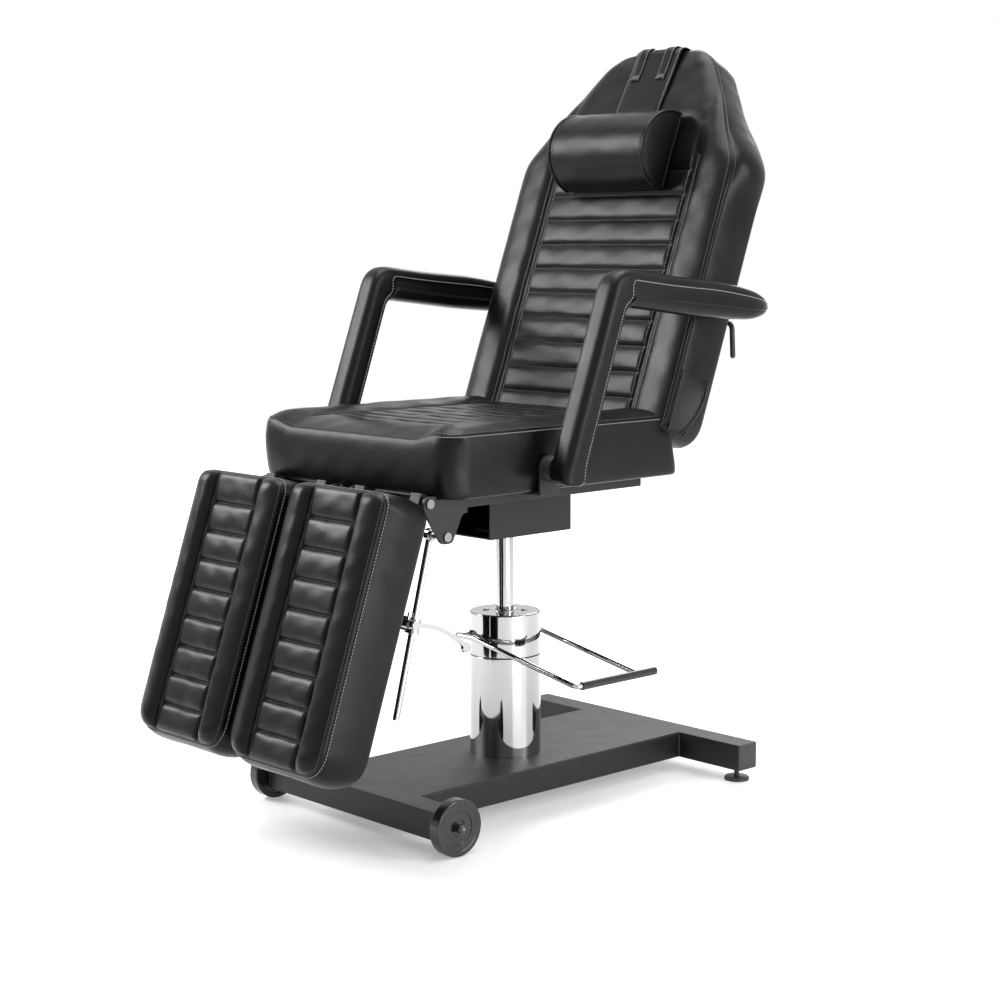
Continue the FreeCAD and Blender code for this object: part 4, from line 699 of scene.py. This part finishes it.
def seat_top(x, y):
    """Top panel: from its seam it rises along a parabola to the panel or, past the border seam, to the bolster;
    the border seam and the channels are sewn down in it."""
    radius = np.where(y < 0, *seat_radii)
    x, y, inward = round_corners(x, y, seat_half, seat_front, seat_rear, (radius, radius))
    wide = np.abs(x)
    front = (1 - smooth_step(0.165, 0.228, wide)) * (1 - smooth_step(seat_front + 0.02, seat_front + 0.15, y))
    seam = seat_side_seam + (seat_front_seam - seat_side_seam) * front
    bolster = smooth_step(seat_border - 0.004, seat_border + 0.034, wide)
    crest = seat_panel_top + (seat_bolster_top - seat_panel_top) * bolster
    z = seam + (crest - seam) * dome(inward, 0.046 + 0.034 * front)
    reach_front = smooth_step(seat_front + 0.03, seat_front + 0.08, y)
    border = (0.0028 * crease(wide - seat_border, 0.036) + 0.0042 * crease(wide - seat_border, 0.009)) * reach_front
    sewn = 0.0062 * quilt(nearest(y, seat_lines), seat_pitch / 2) * (wide < seat_border)
    z = z - np.maximum(border, sewn) * dome(inward, 0.03)
    points = np.stack((x, y, z), -1)
    points[..., 2] += uneven(points, 0.12, 0.0008) * dome(inward, 0.03)
    return points


def seat_bottom(x, y):
    """Flat underside, from the tuck under the board's edge to the foot of the slanted rear wall."""
    x, y = tucked_plan(x, y, seat_half, seat_front, seat_rear, seat_rear_foot, np.where(y < 0, *seat_radii))
    return np.stack((x, y, np.full_like(x, seat_foot)), -1)


seat_xs = clustered([-seat_half, -seat_border - 0.04, -seat_border, 0, seat_border, seat_border + 0.04, seat_half],
                    0.006)
seat_ys = clustered([seat_front, seat_front + 0.045, *seat_lines, seat_rear - 0.04, seat_rear], 0.0045)
seat_skin, seat_under, seat_out = panels(seat_top, seat_bottom, seat_xs, seat_ys, (0, 0, 1))
seat_bulge = 0.0055 + 0.0040 * smooth_step(0.3, 1.0, -seat_out[:, 1])
seat_rings = wall_rings(rim(seat_skin), rim(seat_under), (0, 0, 1), seat_bulge)
seat_piece = mesh_piece("seat_leather", case_part(seat_skin, seat_rings, seat_under))
soft_piece(seat_piece, "seat", 0.8, "seat_cushion")

border_ys = np.linspace(seat_front + 0.06, seat_rear - 0.02, 300)
border_rows = [surface_line(seat_top, np.full_like(border_ys, side * (seat_border + 0.0055)), border_ys)
               for side in (-1, 1)]
sewn_row("seat_seam_stitches", pale_thread, "seat", stitch_part(*closed_row(seat_rings[3], seat_out)))
sewn_row("seat_top_stitches", dark_thread, "seat", stitch_part(*inner_rim(seat_top, seat_xs, seat_ys, 0.0035)))
sewn_row("seat_border_stitches", dark_thread, "seat", *[stitch_part(*row) for row in border_rows])


# Leg rests: two separate pads of foam on plywood, each with nine sewn segments between two round bolsters.
# The front panel's seam has a pale stitched row on the boxing; the lower ends are full and rounded.
def joint_place(name):
    """Where a joint's axis lies in the frame."""
    return next(joint for joint in frame["joints"] if joint["name"] == name)["pos_m"]


def along_axes(origin, second, third, *reaches):
    """Origin + across x + the other two reaches along their own directions, for numbers or grids of them."""
    across, along, out = np.broadcast_arrays(*reaches)
    return origin + across[..., None] * np.array((1, 0, 0)) + along[..., None] * second + out[..., None] * third


leg_lean = math.radians(18.9)
leg_down = np.array((0, -math.sin(leg_lean), -math.cos(leg_lean)))
leg_forward = np.array((0, -math.cos(leg_lean), math.sin(leg_lean)))
leg_hinge = np.array((0, *joint_place("leg_left_raise")[1:]))
pad_inner, pad_outer = 0.014, 0.262
pad_top, pad_foot = 0.0095, 0.4790
pad_back, pad_seam, pad_crest, pad_strip = 0.0224, 0.1165, 0.1360, 0.1265
pad_middle = (pad_inner + pad_outer) / 2
pad_half = (pad_outer - pad_inner) / 2
strip_half = 0.0605
welt_gap = 0.0065
pad_pitch = 0.0523
pad_radii = 0.026, 0.040
pad_lines = 0.065 + pad_pitch * np.arange(8)


def leg_place(across, down, forward):
    """Place in the chair of a point given across the pads, down the leg and forward of its hinge line."""
    return along_axes(leg_hinge, leg_down, leg_forward, across, down, forward)


def pad_face(across, down):
    """Front of a pad, above its seam: two bolsters, each a quarter round from the edge times one from the welt,
    a low welt either side of the strip, and the strip, with its segments sewn down between them."""
    radius = np.where(down < (pad_top + pad_foot) / 2, *pad_radii)
    x, s, inward = round_corners(across, down, pad_half, pad_top, pad_foot, (radius, radius), ends=1.8)
    wide = np.abs(x)
    tube = (pad_crest - pad_seam) * quarter_round(inward, 0.040) * quarter_round(wide - strip_half - welt_gap, 0.019)
    welt = 0.0055 * quarter_round(wide - strip_half, 0.003) * quarter_round(strip_half + welt_gap - wide, 0.003)
    strip = (pad_strip - pad_seam) * quarter_round(strip_half - wide, 0.006)
    strip = strip * (1 - 0.85 * quilt(nearest(s, pad_lines), pad_pitch / 2))
    forward = pad_seam + tube + (welt + strip) * quarter_round(inward, 0.020)
    points = leg_place(pad_middle + x, s, forward)
    return points + leg_forward * (uneven(points, 0.10, 0.0008) * dome(inward, 0.03))[..., None]


def pad_rear(across, down):
    """Flat back of a pad, behind its board."""
    radius = np.where(down < (pad_top + pad_foot) / 2, *pad_radii)
    x, s = tucked_plan(across, down, pad_half, pad_top, pad_foot, pad_foot, radius)
    return leg_place(pad_middle + x, s, np.full_like(x, pad_back))


pad_xs = clustered([-pad_half, -strip_half - welt_gap, -strip_half, 0, strip_half, strip_half + welt_gap, pad_half],
                   0.0045)
pad_ss = clustered([pad_top, *pad_lines, pad_foot], 0.0044)
pad_skin, pad_under, pad_out = panels(pad_face, pad_rear, -pad_xs, pad_ss, leg_forward)
pad_bulge = 0.0055 + 0.0095 * smooth_step(0.2, 1.0, pad_out @ leg_down)
pad_rings = wall_rings(rim(pad_skin), rim(pad_under), leg_forward, pad_bulge)

strip_ss = np.linspace(pad_top + 0.012, pad_foot - 0.012, 400)
strip_rows = [stitch_part(*surface_line(pad_face, np.full_like(strip_ss, edge * (strip_half + welt_gap / 2)),
                                        strip_ss)) for edge in (-1, 1)]
strip_rows.append(stitch_part(*inner_rim(pad_face, -pad_xs, pad_ss, 0.0035)))
for side, mirror in (("left", False), ("right", True)):
    pad_piece = mesh_piece("leg_leather_" + side, case_part(pad_skin, pad_rings, pad_under), mirror=mirror)
    soft_piece(pad_piece, "leg_pad_" + side, 0.75, "leg_pad_" + side)
    sewn_row("leg_seam_stitches_" + side, pale_thread, "leg_pad_" + side,
             stitch_part(*closed_row(pad_rings[3], pad_out)), mirror=mirror)
    sewn_row("leg_strip_stitches_" + side, dark_thread, "leg_pad_" + side, *strip_rows, mirror=mirror)


# Back cushion: foam on a plywood board, with a channelled panel between two bolsters. Its head narrows and bends
# a little to the rear. The panels are sewn in faux leather, drawn round the board's edge and stapled behind it.
back_lean = math.radians(20.6)
back_up = np.array((0, math.sin(back_lean), math.cos(back_lean)))
back_rear = np.array((0, math.cos(back_lean), -math.sin(back_lean)))
back_origin = np.array((0, joint_place("back_recline")[1] - 0.066, seat_high.z))
back_half = 0.2775
back_foot, back_head = -0.045, 0.733
back_shoulder = 0.490
back_taper = 0.163 / 0.246
back_border = 0.179
back_radii = 0.040, 0.100
head_soft = 0.009
back_pitch = 0.0505
back_lines = 0.020 + back_pitch * np.arange(10)
back_seam, back_crest, back_panel = 0.008, -0.005, 0.003
back_board_face = 0.1046


def back_place(across, up, rear):
    """Place in the chair of a point given across the back, up along it and behind its front plane."""
    return along_axes(back_origin, back_up, back_rear, across, up, rear)


def head_bend(up):
    """How far the head has bent to the rear at a height."""
    return 0.030 * smooth_step(0.49, 0.76, up)


def head_share(up):
    """Width of the back as a share: 1 below the shoulders, then a straight taper begun softly,
    half - taper k ln(1 + exp((s - shoulder) / k))."""
    return (back_half - back_taper * head_soft * np.logaddexp(0, (up - back_shoulder) / head_soft)) / back_half


def back_outline(across, up, inset=0.0):
    """Rounded plan of the back: a rectangle with round corners, narrowed by the head's taper."""
    low, high = back_foot + inset, back_head - inset
    half = back_half - inset
    share = (up - back_foot) / (back_head - back_foot)
    radius_x = np.where(share > 0.5, back_radii[1], back_radii[0])
    x, s, inward = round_corners(across * half / back_half, low + share * (high - low), half, low, high,
                                 (radius_x, back_radii[0]))
    return x * head_share(s), s, inward * (1 - 0.4 * smooth_step(back_shoulder, back_shoulder + 0.05, s))


def back_face(across, up):
    """Front of the back: quarter round at the edge, bolsters, a border of two seams, channels below the head."""
    x, s, inward = back_outline(across, up)
    x = x * (1 + 0.035 * smooth_step(0.54, 0.62, s))
    wide = np.abs(x)
    head = smooth_step(0.545, 0.60, s)
    panel = (1 - smooth_step(back_border - 0.004, back_border + 0.036, wide)) * (1 - head)
    crest = back_crest + (back_panel - back_crest) * panel
    rear = back_seam + (crest - back_seam) * quarter_round(inward, 0.036)
    border = np.maximum(crease(wide - back_border, 0.009), crease(wide - back_border - 0.010, 0.016))
    sewn = 0.0066 * quilt(nearest(s, back_lines), back_pitch / 2) * (wide < back_border) * (s < 0.56)
    valley = 0.0050 * crease(wide - back_border - 0.004, 0.030) * head
    border = 0.0075 * border * (1 - smooth_step(0.49, 0.55, s))
    relief = np.maximum(np.maximum(border, valley), sewn)
    rear = rear + relief * quarter_round(inward, 0.024) + head_bend(s)
    points = back_place(x, s, rear)
    return points - back_rear * (uneven(points, 0.14, 0.0009) * dome(inward, 0.03))[..., None]


def back_flat(across, up):
    """Rear of the cushion, flat behind its board."""
    x, s, _ = back_outline(across, up, wall_tuck)
    x = x * (1 - 0.05 * smooth_step(0.54, 0.62, s))
    return back_place(x, s, np.full_like(x, back_board_face))


back_xs = clustered([-back_half, -back_border - 0.010, -back_border, 0, back_border, back_border + 0.010, back_half],
                    0.006)
back_ss = clustered([back_foot, *back_lines, 0.60, back_head - 0.05, back_head], 0.0050)
back_skin, back_under, back_out = panels(back_face, back_flat, back_xs, back_ss, -back_rear)
back_height = (rim(back_skin) - back_origin) @ back_up
back_bulge = 0.0045 + 0.0150 * np.abs(back_out[:, 0]) * np.exp(-((back_height - back_shoulder - 0.01) / 0.055) ** 2)
back_rings = wall_rings(rim(back_skin), rim(back_under), -back_rear, back_bulge)
back_piece = mesh_piece("back_leather", case_part(back_skin, back_rings, back_under))
soft_piece(back_piece, "back", 0.75, "back_cushion")

border_ss = np.linspace(back_foot + 0.03, 0.50, 500)
back_rows = [surface_line(back_face, np.full_like(border_ss, place) / head_share(border_ss), border_ss)
             for edge in (-1, 1) for place in (edge * (back_border - 0.004), edge * (back_border + 0.0145))]
sewn_row("back_edge_stitches", dark_thread, "back", stitch_part(*inner_rim(back_face, back_xs, back_ss, 0.0045)),
         stitch_part(*closed_row(back_rings[3], back_out)))
sewn_row("back_border_stitches", pale_thread, "back", *[stitch_part(*row, thick=0.0005) for row in back_rows])


# Side pocket: a flat panel of the same leather sewn on the boxing at the sitter's left, open towards the rear.
# Its mouth and the edge behind it are piped.
pocket_foot, pocket_top = -0.034, 0.082
pocket_front = 0.011
pocket_thick = 0.0018
pocket_steps = 80


def back_side(up, rear):
    """Distance from the middle to the boxing of the back, at a height and a depth behind its front."""
    w = np.clip((rear - back_seam) / (back_board_face - back_seam), 0, 1)
    return back_half * head_share(up) + 0.0045 * (4 * w * (1 - w)) ** 0.6


def pocket_mouth(up):
    """Depth of the pocket's mouth: straight above, drawn forward below as 1 - k t^2.2."""
    t = (pocket_top - up) / (pocket_top - pocket_foot)
    return 0.074 - 0.036 * t ** 2.2


def pocket_face(share, up):
    """The panel lies on the boxing at its seams and stands off it at the mouth, most at half height."""
    rear = pocket_front + (pocket_mouth(up) - pocket_front) * share
    height = (up - pocket_foot) / (pocket_top - pocket_foot)
    gape = 0.0100 * np.clip(share, 0, 1) ** 2 * np.sqrt(np.clip(4 * height * (1 - height), 0, 1))
    return back_place(back_side(up, rear) + 0.0016 + gape, up, rear)


pocket_grid = np.meshgrid(np.linspace(0, 1, 40), np.linspace(pocket_foot, pocket_top, 60), indexing="ij")
pocket_outer = pocket_face(*pocket_grid) + (pocket_thick / 2, 0, 0)
pocket_inner = pocket_outer - (pocket_thick, 0, 0)
pocket_edge = rim((pocket_outer + pocket_inner) / 2)[None]
pocket_piece = mesh_piece("pocket_panel", case_part(pocket_outer, pocket_edge, pocket_inner))
fasten(pocket_piece, leather, "back", "leather", "side_pocket")
mouth_ss = np.linspace(pocket_foot + 0.002, pocket_top - 0.001, pocket_steps)
mouth_line = pocket_face(np.ones(pocket_steps), mouth_ss) + (pocket_thick / 2, 0, 0)
behind_rear = pocket_mouth(mouth_ss) + 0.013
behind_line = back_place(back_side(mouth_ss, behind_rear) + 0.0006, mouth_ss, behind_rear)
pocket_piping = mesh_piece("pocket_piping", tube_part(mouth_line, 0.0026, around=10),
                           tube_part(behind_line, 0.0024, around=10))
fasten(pocket_piping, leather, "back", "leather")
side_way = np.tile((1.0, 0, 0), (pocket_steps, 1))
top_shares = np.linspace(0.02, 1.28, pocket_steps)
top_rear = pocket_front + (pocket_mouth(pocket_top) - pocket_front) * top_shares
pocket_top_row = back_place(back_side(pocket_top, top_rear) + 0.0018, pocket_top - 0.003, top_rear)
pocket_mouth_row = pocket_face(np.full(pocket_steps, 0.93), mouth_ss) + (pocket_thick, 0, 0)
sewn_row("pocket_stitches", dark_thread, "back", stitch_part(pocket_top_row, side_way),
         stitch_part(pocket_mouth_row, side_way))


# Head strap: a leather band drawn over the head, from under the pillow to the rear of the board, and two narrow
# tabs sewn on it that carry on over the top. It stands a little off the head, so that the pillow can slide.
strap_half = 0.0585
strap_thick = 0.0022
strap_stand = 0.0032
strap_start = 0.452
tab_start, tab_thick, tab_offset = 0.664, 0.0018, 0.0026
tab_edges = {"right": (-0.049, -0.025), "left": (0.018, 0.042)}


def strap_path(low, offset):
    """Line of the strap in the plane of the chair's middle: up the front, over the top and down the rear."""
    ups = np.array([low, 0.50, 0.545, 0.60, 0.65, 0.695])
    ups = ups[ups >= low]
    lift = 0.004 * smooth_step(0.545, 0.60, ups) + strap_stand * smooth_step(0.545, 0.62, ups)
    front = np.stack((ups, 0.0022 + head_bend(ups) - 0.004 * smooth_step(0.5, 0.6, ups) - lift - offset), 1)
    top = back_head + 0.0052 + offset
    rear = back_board_face + 0.0022 + offset
    over = [(top, front[-1, 1] + 0.004), (top, rear), (0.622, rear)]
    return eased(np.concatenate((front, over)), 0.018, 9)


def band(name, low, left, right, thick, offset):
    """A flat band along the strap's line: two faces a thickness apart, closed round its edge."""
    path = strap_path(low, offset)
    ahead = np.gradient(path, axis=0)
    out = np.stack((ahead[:, 1], -ahead[:, 0]), 1) / np.linalg.norm(ahead, axis=1)[:, None]
    across = np.linspace(left, right, 9)
    bow = 0.0012 * (1 - ((across - (left + right) / 2) / ((right - left) / 2)) ** 2)
    line = path[None] + out[None] * bow[:, None, None]
    outer, inner = line + out * thick / 2, line - out * thick / 2
    grids = [back_place(np.broadcast_to(across[:, None], g.shape[:2]), g[..., 0], g[..., 1]) for g in (outer, inner)]
    piece = mesh_piece(name, case_part(grids[0], rim((grids[0] + grids[1]) / 2)[None], grids[1]))
    fasten(piece, leather, "back", "leather")
    length = np.linalg.norm(np.diff(path, axis=0), axis=1).sum()
    return piece, (right - left, float(length)), grids[0]


def band_rows(grid, inset):
    """A row of stitches along each edge of a band, and one across its front end."""
    count = grid.shape[0] - 1
    out = np.cross(grid[-1] - grid[0], np.gradient(grid[0], axis=0))
    rows = [(grid[0] + (grid[-1] - grid[0]) * share, out) for share in (inset, 1 - inset)]
    end = grid[:, 0] * 0.75 + grid[:, 1] * 0.25
    rows.append((end, np.tile(out[0], (count + 1, 1))))
    return [stitch_part(*row, pitch=0.0044, length=0.0032, thick=0.0005) for row in rows]


strap_piece, strap_flat, strap_grid = band("strap_band", strap_start, -strap_half, strap_half, strap_thick, 0.0)
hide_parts("pillow_strap")
tab_rows = []
for tab_name, edges in tab_edges.items():
    tab_piece, tab_flat, tab_grid = band("strap_tab_" + tab_name, tab_start, *edges, tab_thick, tab_offset)
    tab_rows.extend(band_rows(tab_grid, 0.12))
sewn_row("strap_stitches", pale_thread, "back", *tab_rows, *band_rows(strap_grid, 0.035)[:2])


# Head pillow: a half-round foam roll in leather, with piped flat ends and a stitched row beside each piping.
# It hangs on the strap that goes over the head and slides along the back.
pillow_middle, pillow_reach, pillow_depth, pillow_flat = 0.505, 0.0775, 0.081, -0.0042
pillow_half = 0.1255
pillow_face_steps, pillow_flat_steps, pillow_row_steps = 72, 26, 160
pillow_centre = np.array((pillow_middle, pillow_flat - pillow_depth * 0.42))


def pillow_section():
    """Half ellipse for the face and a straight line for the flat side, once round."""
    turn = np.linspace(-np.pi / 2, np.pi / 2, pillow_face_steps)
    face = np.stack((pillow_middle + pillow_reach * np.sin(turn), pillow_flat - pillow_depth * np.cos(turn)), 1)
    flat = np.linspace(face[-1], face[0], pillow_flat_steps)[1:-1]
    return np.concatenate((face, flat))


def pillow_skin():
    """The section carried across; it swells in the middle, tucks in at the ends and closes to a low dome."""
    section = pillow_section()
    share = np.linspace(-1, 1, 81)
    swell = 1 + 0.014 * (1 - share ** 2) - 0.03 * np.abs(share) ** 22
    body = pillow_centre + (section - pillow_centre) * swell[:, None, None]
    body[..., 1] = np.minimum(body[..., 1], pillow_flat)
    body_x = np.broadcast_to((share * pillow_half)[:, None], body.shape[:2])
    close = np.array([0.985, 0.95, 0.85, 0.6, 0.3, 0.0])
    cap = pillow_centre + (body[0] - pillow_centre) * close[:, None, None]
    dome_out = pillow_half + 0.0030 * np.sqrt(1 - close ** 2)
    cap_x = np.broadcast_to(dome_out[:, None], cap.shape[:2])
    rows = np.concatenate((cap[::-1], body, cap))
    xs = np.concatenate((-cap_x[::-1], body_x, cap_x))
    skin = back_place(xs, rows[..., 0], rows[..., 1])
    face = smooth_step(0, 0.02, pillow_flat - rows[..., 1])
    return skin - back_rear * (uneven(skin, 0.12, 0.0004) * face)[..., None]


pillow_piece = mesh_piece("pillow_leather", grid_part(pillow_skin(), closed_v=True))
soft_piece(pillow_piece, "pillow", 0.85, "head_pillow")


def pillow_piping(side):
    """Piping round one end of the pillow."""
    loop = pillow_centre + (pillow_section() - pillow_centre) * 0.982
    path = back_place(np.full(len(loop), side * (pillow_half + 0.0004)), loop[:, 0], loop[:, 1])
    return tube_part(np.concatenate((path, path[:1])), 0.0030, reference=(1, 0, 0), around=12)


def pillow_row(side):
    """Stitches on the face beside an end's piping."""
    turn = np.linspace(-1.35, 1.35, pillow_row_steps)
    line = np.stack((pillow_middle + pillow_reach * 1.002 * np.sin(turn),
                     pillow_flat - pillow_depth * 1.002 * np.cos(turn)), 1)
    path = back_place(np.full(pillow_row_steps, side * (pillow_half - 0.008)), line[:, 0], line[:, 1])
    out = back_place(np.zeros(pillow_row_steps), np.sin(turn), -np.cos(turn)) - back_origin
    return stitch_part(path, out)


sewn_row("pillow_piping", leather, "pillow", pillow_piping(-1), pillow_piping(1))
sewn_row("pillow_stitches", dark_thread, "pillow", pillow_row(-1), pillow_row(1))


# Arm rests: a steel core wrapped in foam and leather, bent once, turning on a hub disc beside the seat.
# A seam with a bead runs in a groove along both sides, low at the back of the upright, high on the arm.
arm_low, arm_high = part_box("arm_cover_left")
arm_middle = (arm_low.x + arm_high.x) / 2
arm_half = (arm_high.x - arm_low.x) / 2
column_y = column_foot[1]
arm_outer_line = [(-0.152, 0.6245), (-0.1790, 0.628), (-0.1790, 0.652), (-0.053, 0.995), (0.075, 0.9795),
                  (0.208, 0.969), (0.305, 0.951), (0.348, 0.934), (0.364, 0.918)]
arm_inner_line = [(-0.152, 0.6245), (-0.1250, 0.628), (-0.1250, 0.652), (-0.028, 0.927), (0.154, 0.905),
                  (0.250, 0.897), (0.310, 0.894), (0.350, 0.902), (0.364, 0.918)]
arm_power = 0.56
arm_stations, arm_around = 170, 176
arm_tip_start, arm_tip_reach = 0.285, 0.079


def arm_curve(line, reach, marks):
    """The line with eased corners, read at places that run evenly between its marks."""
    curve = eased(line, reach, 12)
    step = np.linalg.norm(np.diff(curve, axis=0), axis=1)
    length = np.concatenate(([0], np.cumsum(step)))
    length /= length[-1]
    stations = (1 - np.cos(np.pi * np.linspace(0, 1, arm_stations))) / 2
    places = np.interp(stations, np.linspace(0, 1, len(marks)), marks)
    return np.stack([np.interp(places, length, curve[:, k]) for k in range(2)], 1)


def elbow_share(line):
    """How far along an arm's line its elbow lies."""
    step = np.linalg.norm(np.diff(np.array(line), axis=0), axis=1)
    return step[:3].sum() / step.sum()


arm_top_curve = arm_curve(arm_outer_line, 0.040, [0, elbow_share(arm_outer_line), 1])
arm_under_curve = arm_curve(arm_inner_line, 0.020, [0, elbow_share(arm_inner_line), 1])
arm_centre = (arm_top_curve + arm_under_curve) / 2
arm_turned = smooth_step(0.500, 0.522, np.linspace(0, 1, len(arm_top_curve)))[:, None]
arm_seam = np.radians(-33 + 37 * arm_turned)


def arm_points(turn):
    """Section at each station: middle + half gap sin(a)^p and half width cos(a)^p, a being the turn; a groove
    e^-((a - seam) / w)^2 runs along the seam, and the arm narrows towards its tip as (1 - t^2.6)^0.55."""
    half = (arm_top_curve - arm_under_curve) / 2
    size = np.linalg.norm(half, axis=1)
    foot = 1 - 0.20 * (1 - np.clip(size / 0.022, 0, 1)) ** 2
    tip = (1 - np.clip((arm_centre[:, 0] - arm_tip_start) / arm_tip_reach, 0, 1) ** 2.6) ** 0.55
    shape = (len(arm_centre), np.shape(turn)[-1])
    turn = np.broadcast_to(turn, shape)
    folded = np.arctan2(np.sin(turn), np.abs(np.cos(turn)))
    shrink = 1 - (0.13 - 0.07 * arm_turned) * np.exp(-((folded - arm_seam) / 0.11) ** 2)
    sine = np.sign(np.sin(turn)) * np.abs(np.sin(turn)) ** arm_power * shrink
    cosine = np.sign(np.cos(turn)) * np.abs(np.cos(turn)) ** arm_power * shrink
    side = arm_centre[:, None] + half[:, None] * sine[..., None]
    x = arm_middle + arm_half * (foot * tip)[:, None] * cosine
    return np.stack((x, column_y + side[..., 0], side[..., 1]), -1)


arm_turns = 2 * np.pi * (np.arange(arm_around) + 0.5) / arm_around
arm_skin = arm_points(arm_turns)


def arm_line(offset, side, lift):
    """A line along the arm beside its seam: the seam's turn plus an offset, on one side, lifted a little."""
    turn = arm_seam + offset
    turn = turn if side > 0 else np.pi - turn
    line = arm_points(turn)[:, 0]
    middle = np.stack((np.full(len(line), arm_middle), column_y + arm_centre[:, 0], arm_centre[:, 1]), -1)
    out = line - middle
    out /= np.maximum(np.linalg.norm(out, axis=1), 1e-6)[:, None]
    return (line + out * lift)[8:-6], out[8:-6]


for side, mirror in (("left", False), ("right", True)):
    arm_piece = mesh_piece("arm_leather_" + side, grid_part(arm_skin, closed_v=True), mirror=mirror)
    soft_piece(arm_piece, "arm_" + side, 0.9, "arm_cover_" + side)
    sewn_row("arm_piping_" + side, leather, "arm_" + side,
             *[tube_part(arm_line(-0.20, way, 0.0)[0], 0.0020, around=10) for way in (-1, 1)], mirror=mirror)
    sewn_row("arm_stitches_" + side, pale_thread, "arm_" + side,
             *[stitch_part(*arm_line(0.17, way, 0.0004), thick=0.0008) for way in (-1, 1)], mirror=mirror)


# Studio: a pale floor that keeps the shadow, a white surround for the camera and for what shines, and five soft
# lamps, the lowest of them beside the leg rests.
def background_share(tree):
    """1 for rays that see the background: the camera's, mirrored ones and those through glass."""
    rays = add(tree, "ShaderNodeLightPath").outputs
    first = add(tree, "ShaderNodeMath", {0: rays["Is Camera Ray"], 1: rays["Is Glossy Ray"]}, operation="MAXIMUM")
    return add(tree, "ShaderNodeMath", {0: first.outputs[0], 1: rays["Is Transmission Ray"]},
               operation="MAXIMUM").outputs[0]


surround = bpy.data.worlds.new("surround")
bpy.context.scene.world = surround
surround.use_nodes = True
surround_tree = surround.node_tree
surround_level = add(surround_tree, "ShaderNodeMapRange", {"Value": background_share(surround_tree),
                                                           "To Min": 0.28, "To Max": 1.0})
surround_tree.links.new(surround_level.outputs["Result"], surround_tree.nodes["Background"].inputs["Strength"])
surround_tree.nodes["Background"].inputs["Color"].default_value = (1, 1, 1, 1)

floor_reach = 6.0
floor_corners = floor_reach * np.array([(-1, -1, 0), (1, -1, 0), (1, 1, 0), (-1, 1, 0)])
floor_piece = mesh_piece("floor", (floor_corners, np.array([[0, 1, 2, 3]])))
floor_paint, floor_tree, floor_where = start_material(
    "floor_paint", Roughness=0.35, Base_Color=(0.8, 0.8, 0.8, 1), Emission_Color=(1, 1, 1, 1))
floor_distance = add(floor_tree, "ShaderNodeVectorMath", {0: floor_where}, operation="LENGTH")
floor_far = add(floor_tree, "ShaderNodeMapRange", {"Value": floor_distance.outputs["Value"], "From Min": 0.7,
                                                   "From Max": 2.0, "To Min": 0.32, "To Max": 1.0})
glow = add(floor_tree, "ShaderNodeMath", {0: background_share(floor_tree), 1: floor_far.outputs["Result"]},
           operation="MULTIPLY")
floor_tree.links.new(glow.outputs[0], floor_tree.nodes["Principled BSDF"].inputs["Emission Strength"])
dress(floor_paint, floor_piece)

lamps = {"key": ((-1.95, -1.65, 2.05), (0, 0, 0.9), 1.6, 1.2, 100),
         "top": ((0.1, 0.3, 3.0), (0, 0.1, 0), 2.2, 1.8, 82),
         "side": ((2.7, 1.1, 1.5), (0, 0.0, 0.7), 0.7, 1.6, 42),
         "rear": ((-1.5, 2.5, 2.3), (0, 0, 0.9), 1.2, 1.2, 34),
         "low": ((1.9, -0.1, 0.3), (0.26, -0.4, 0.35), 1.1, 0.5, 12)}
for name, (place, aim, wide, high, power) in lamps.items():
    lamp = bpy.data.lights.new(name, "AREA")
    lamp.shape = "RECTANGLE"
    lamp.size = wide
    lamp.size_y = high
    lamp.energy = power
    holder = bpy.data.objects.new(name, lamp)
    holder.location = place
    holder.rotation_euler = (Vector(aim) - Vector(place)).to_track_quat("-Z", "Y").to_euler()
    bpy.context.scene.collection.objects.link(holder)

camera_place = Vector((2.7646, -2.4941, 1.0418))
camera_azimuth, camera_pitch, camera_roll = (math.radians(a) for a in (47.24, 7.33, 0.23))
camera_back = Vector((math.sin(camera_azimuth) * math.cos(camera_pitch),
                      -math.cos(camera_azimuth) * math.cos(camera_pitch), math.sin(camera_pitch)))
camera_right = Vector((math.cos(camera_azimuth), math.sin(camera_azimuth), 0))
camera_up = camera_back.cross(camera_right)
turned_right = camera_right * math.cos(camera_roll) - camera_up * math.sin(camera_roll)
turned_up = camera_right * math.sin(camera_roll) + camera_up * math.cos(camera_roll)
camera_lens = bpy.data.cameras.new("camera")
camera_lens.lens = 72.76
camera_lens.sensor_width = 36
camera = bpy.data.objects.new("camera", camera_lens)
camera.matrix_world = (Matrix.Translation(camera_place)
                       @ Matrix((turned_right, turned_up, camera_back)).transposed().to_4x4())
bpy.context.scene.collection.objects.link(camera)
bpy.context.scene.camera = camera
bpy.context.scene.view_settings.view_transform = "Standard"
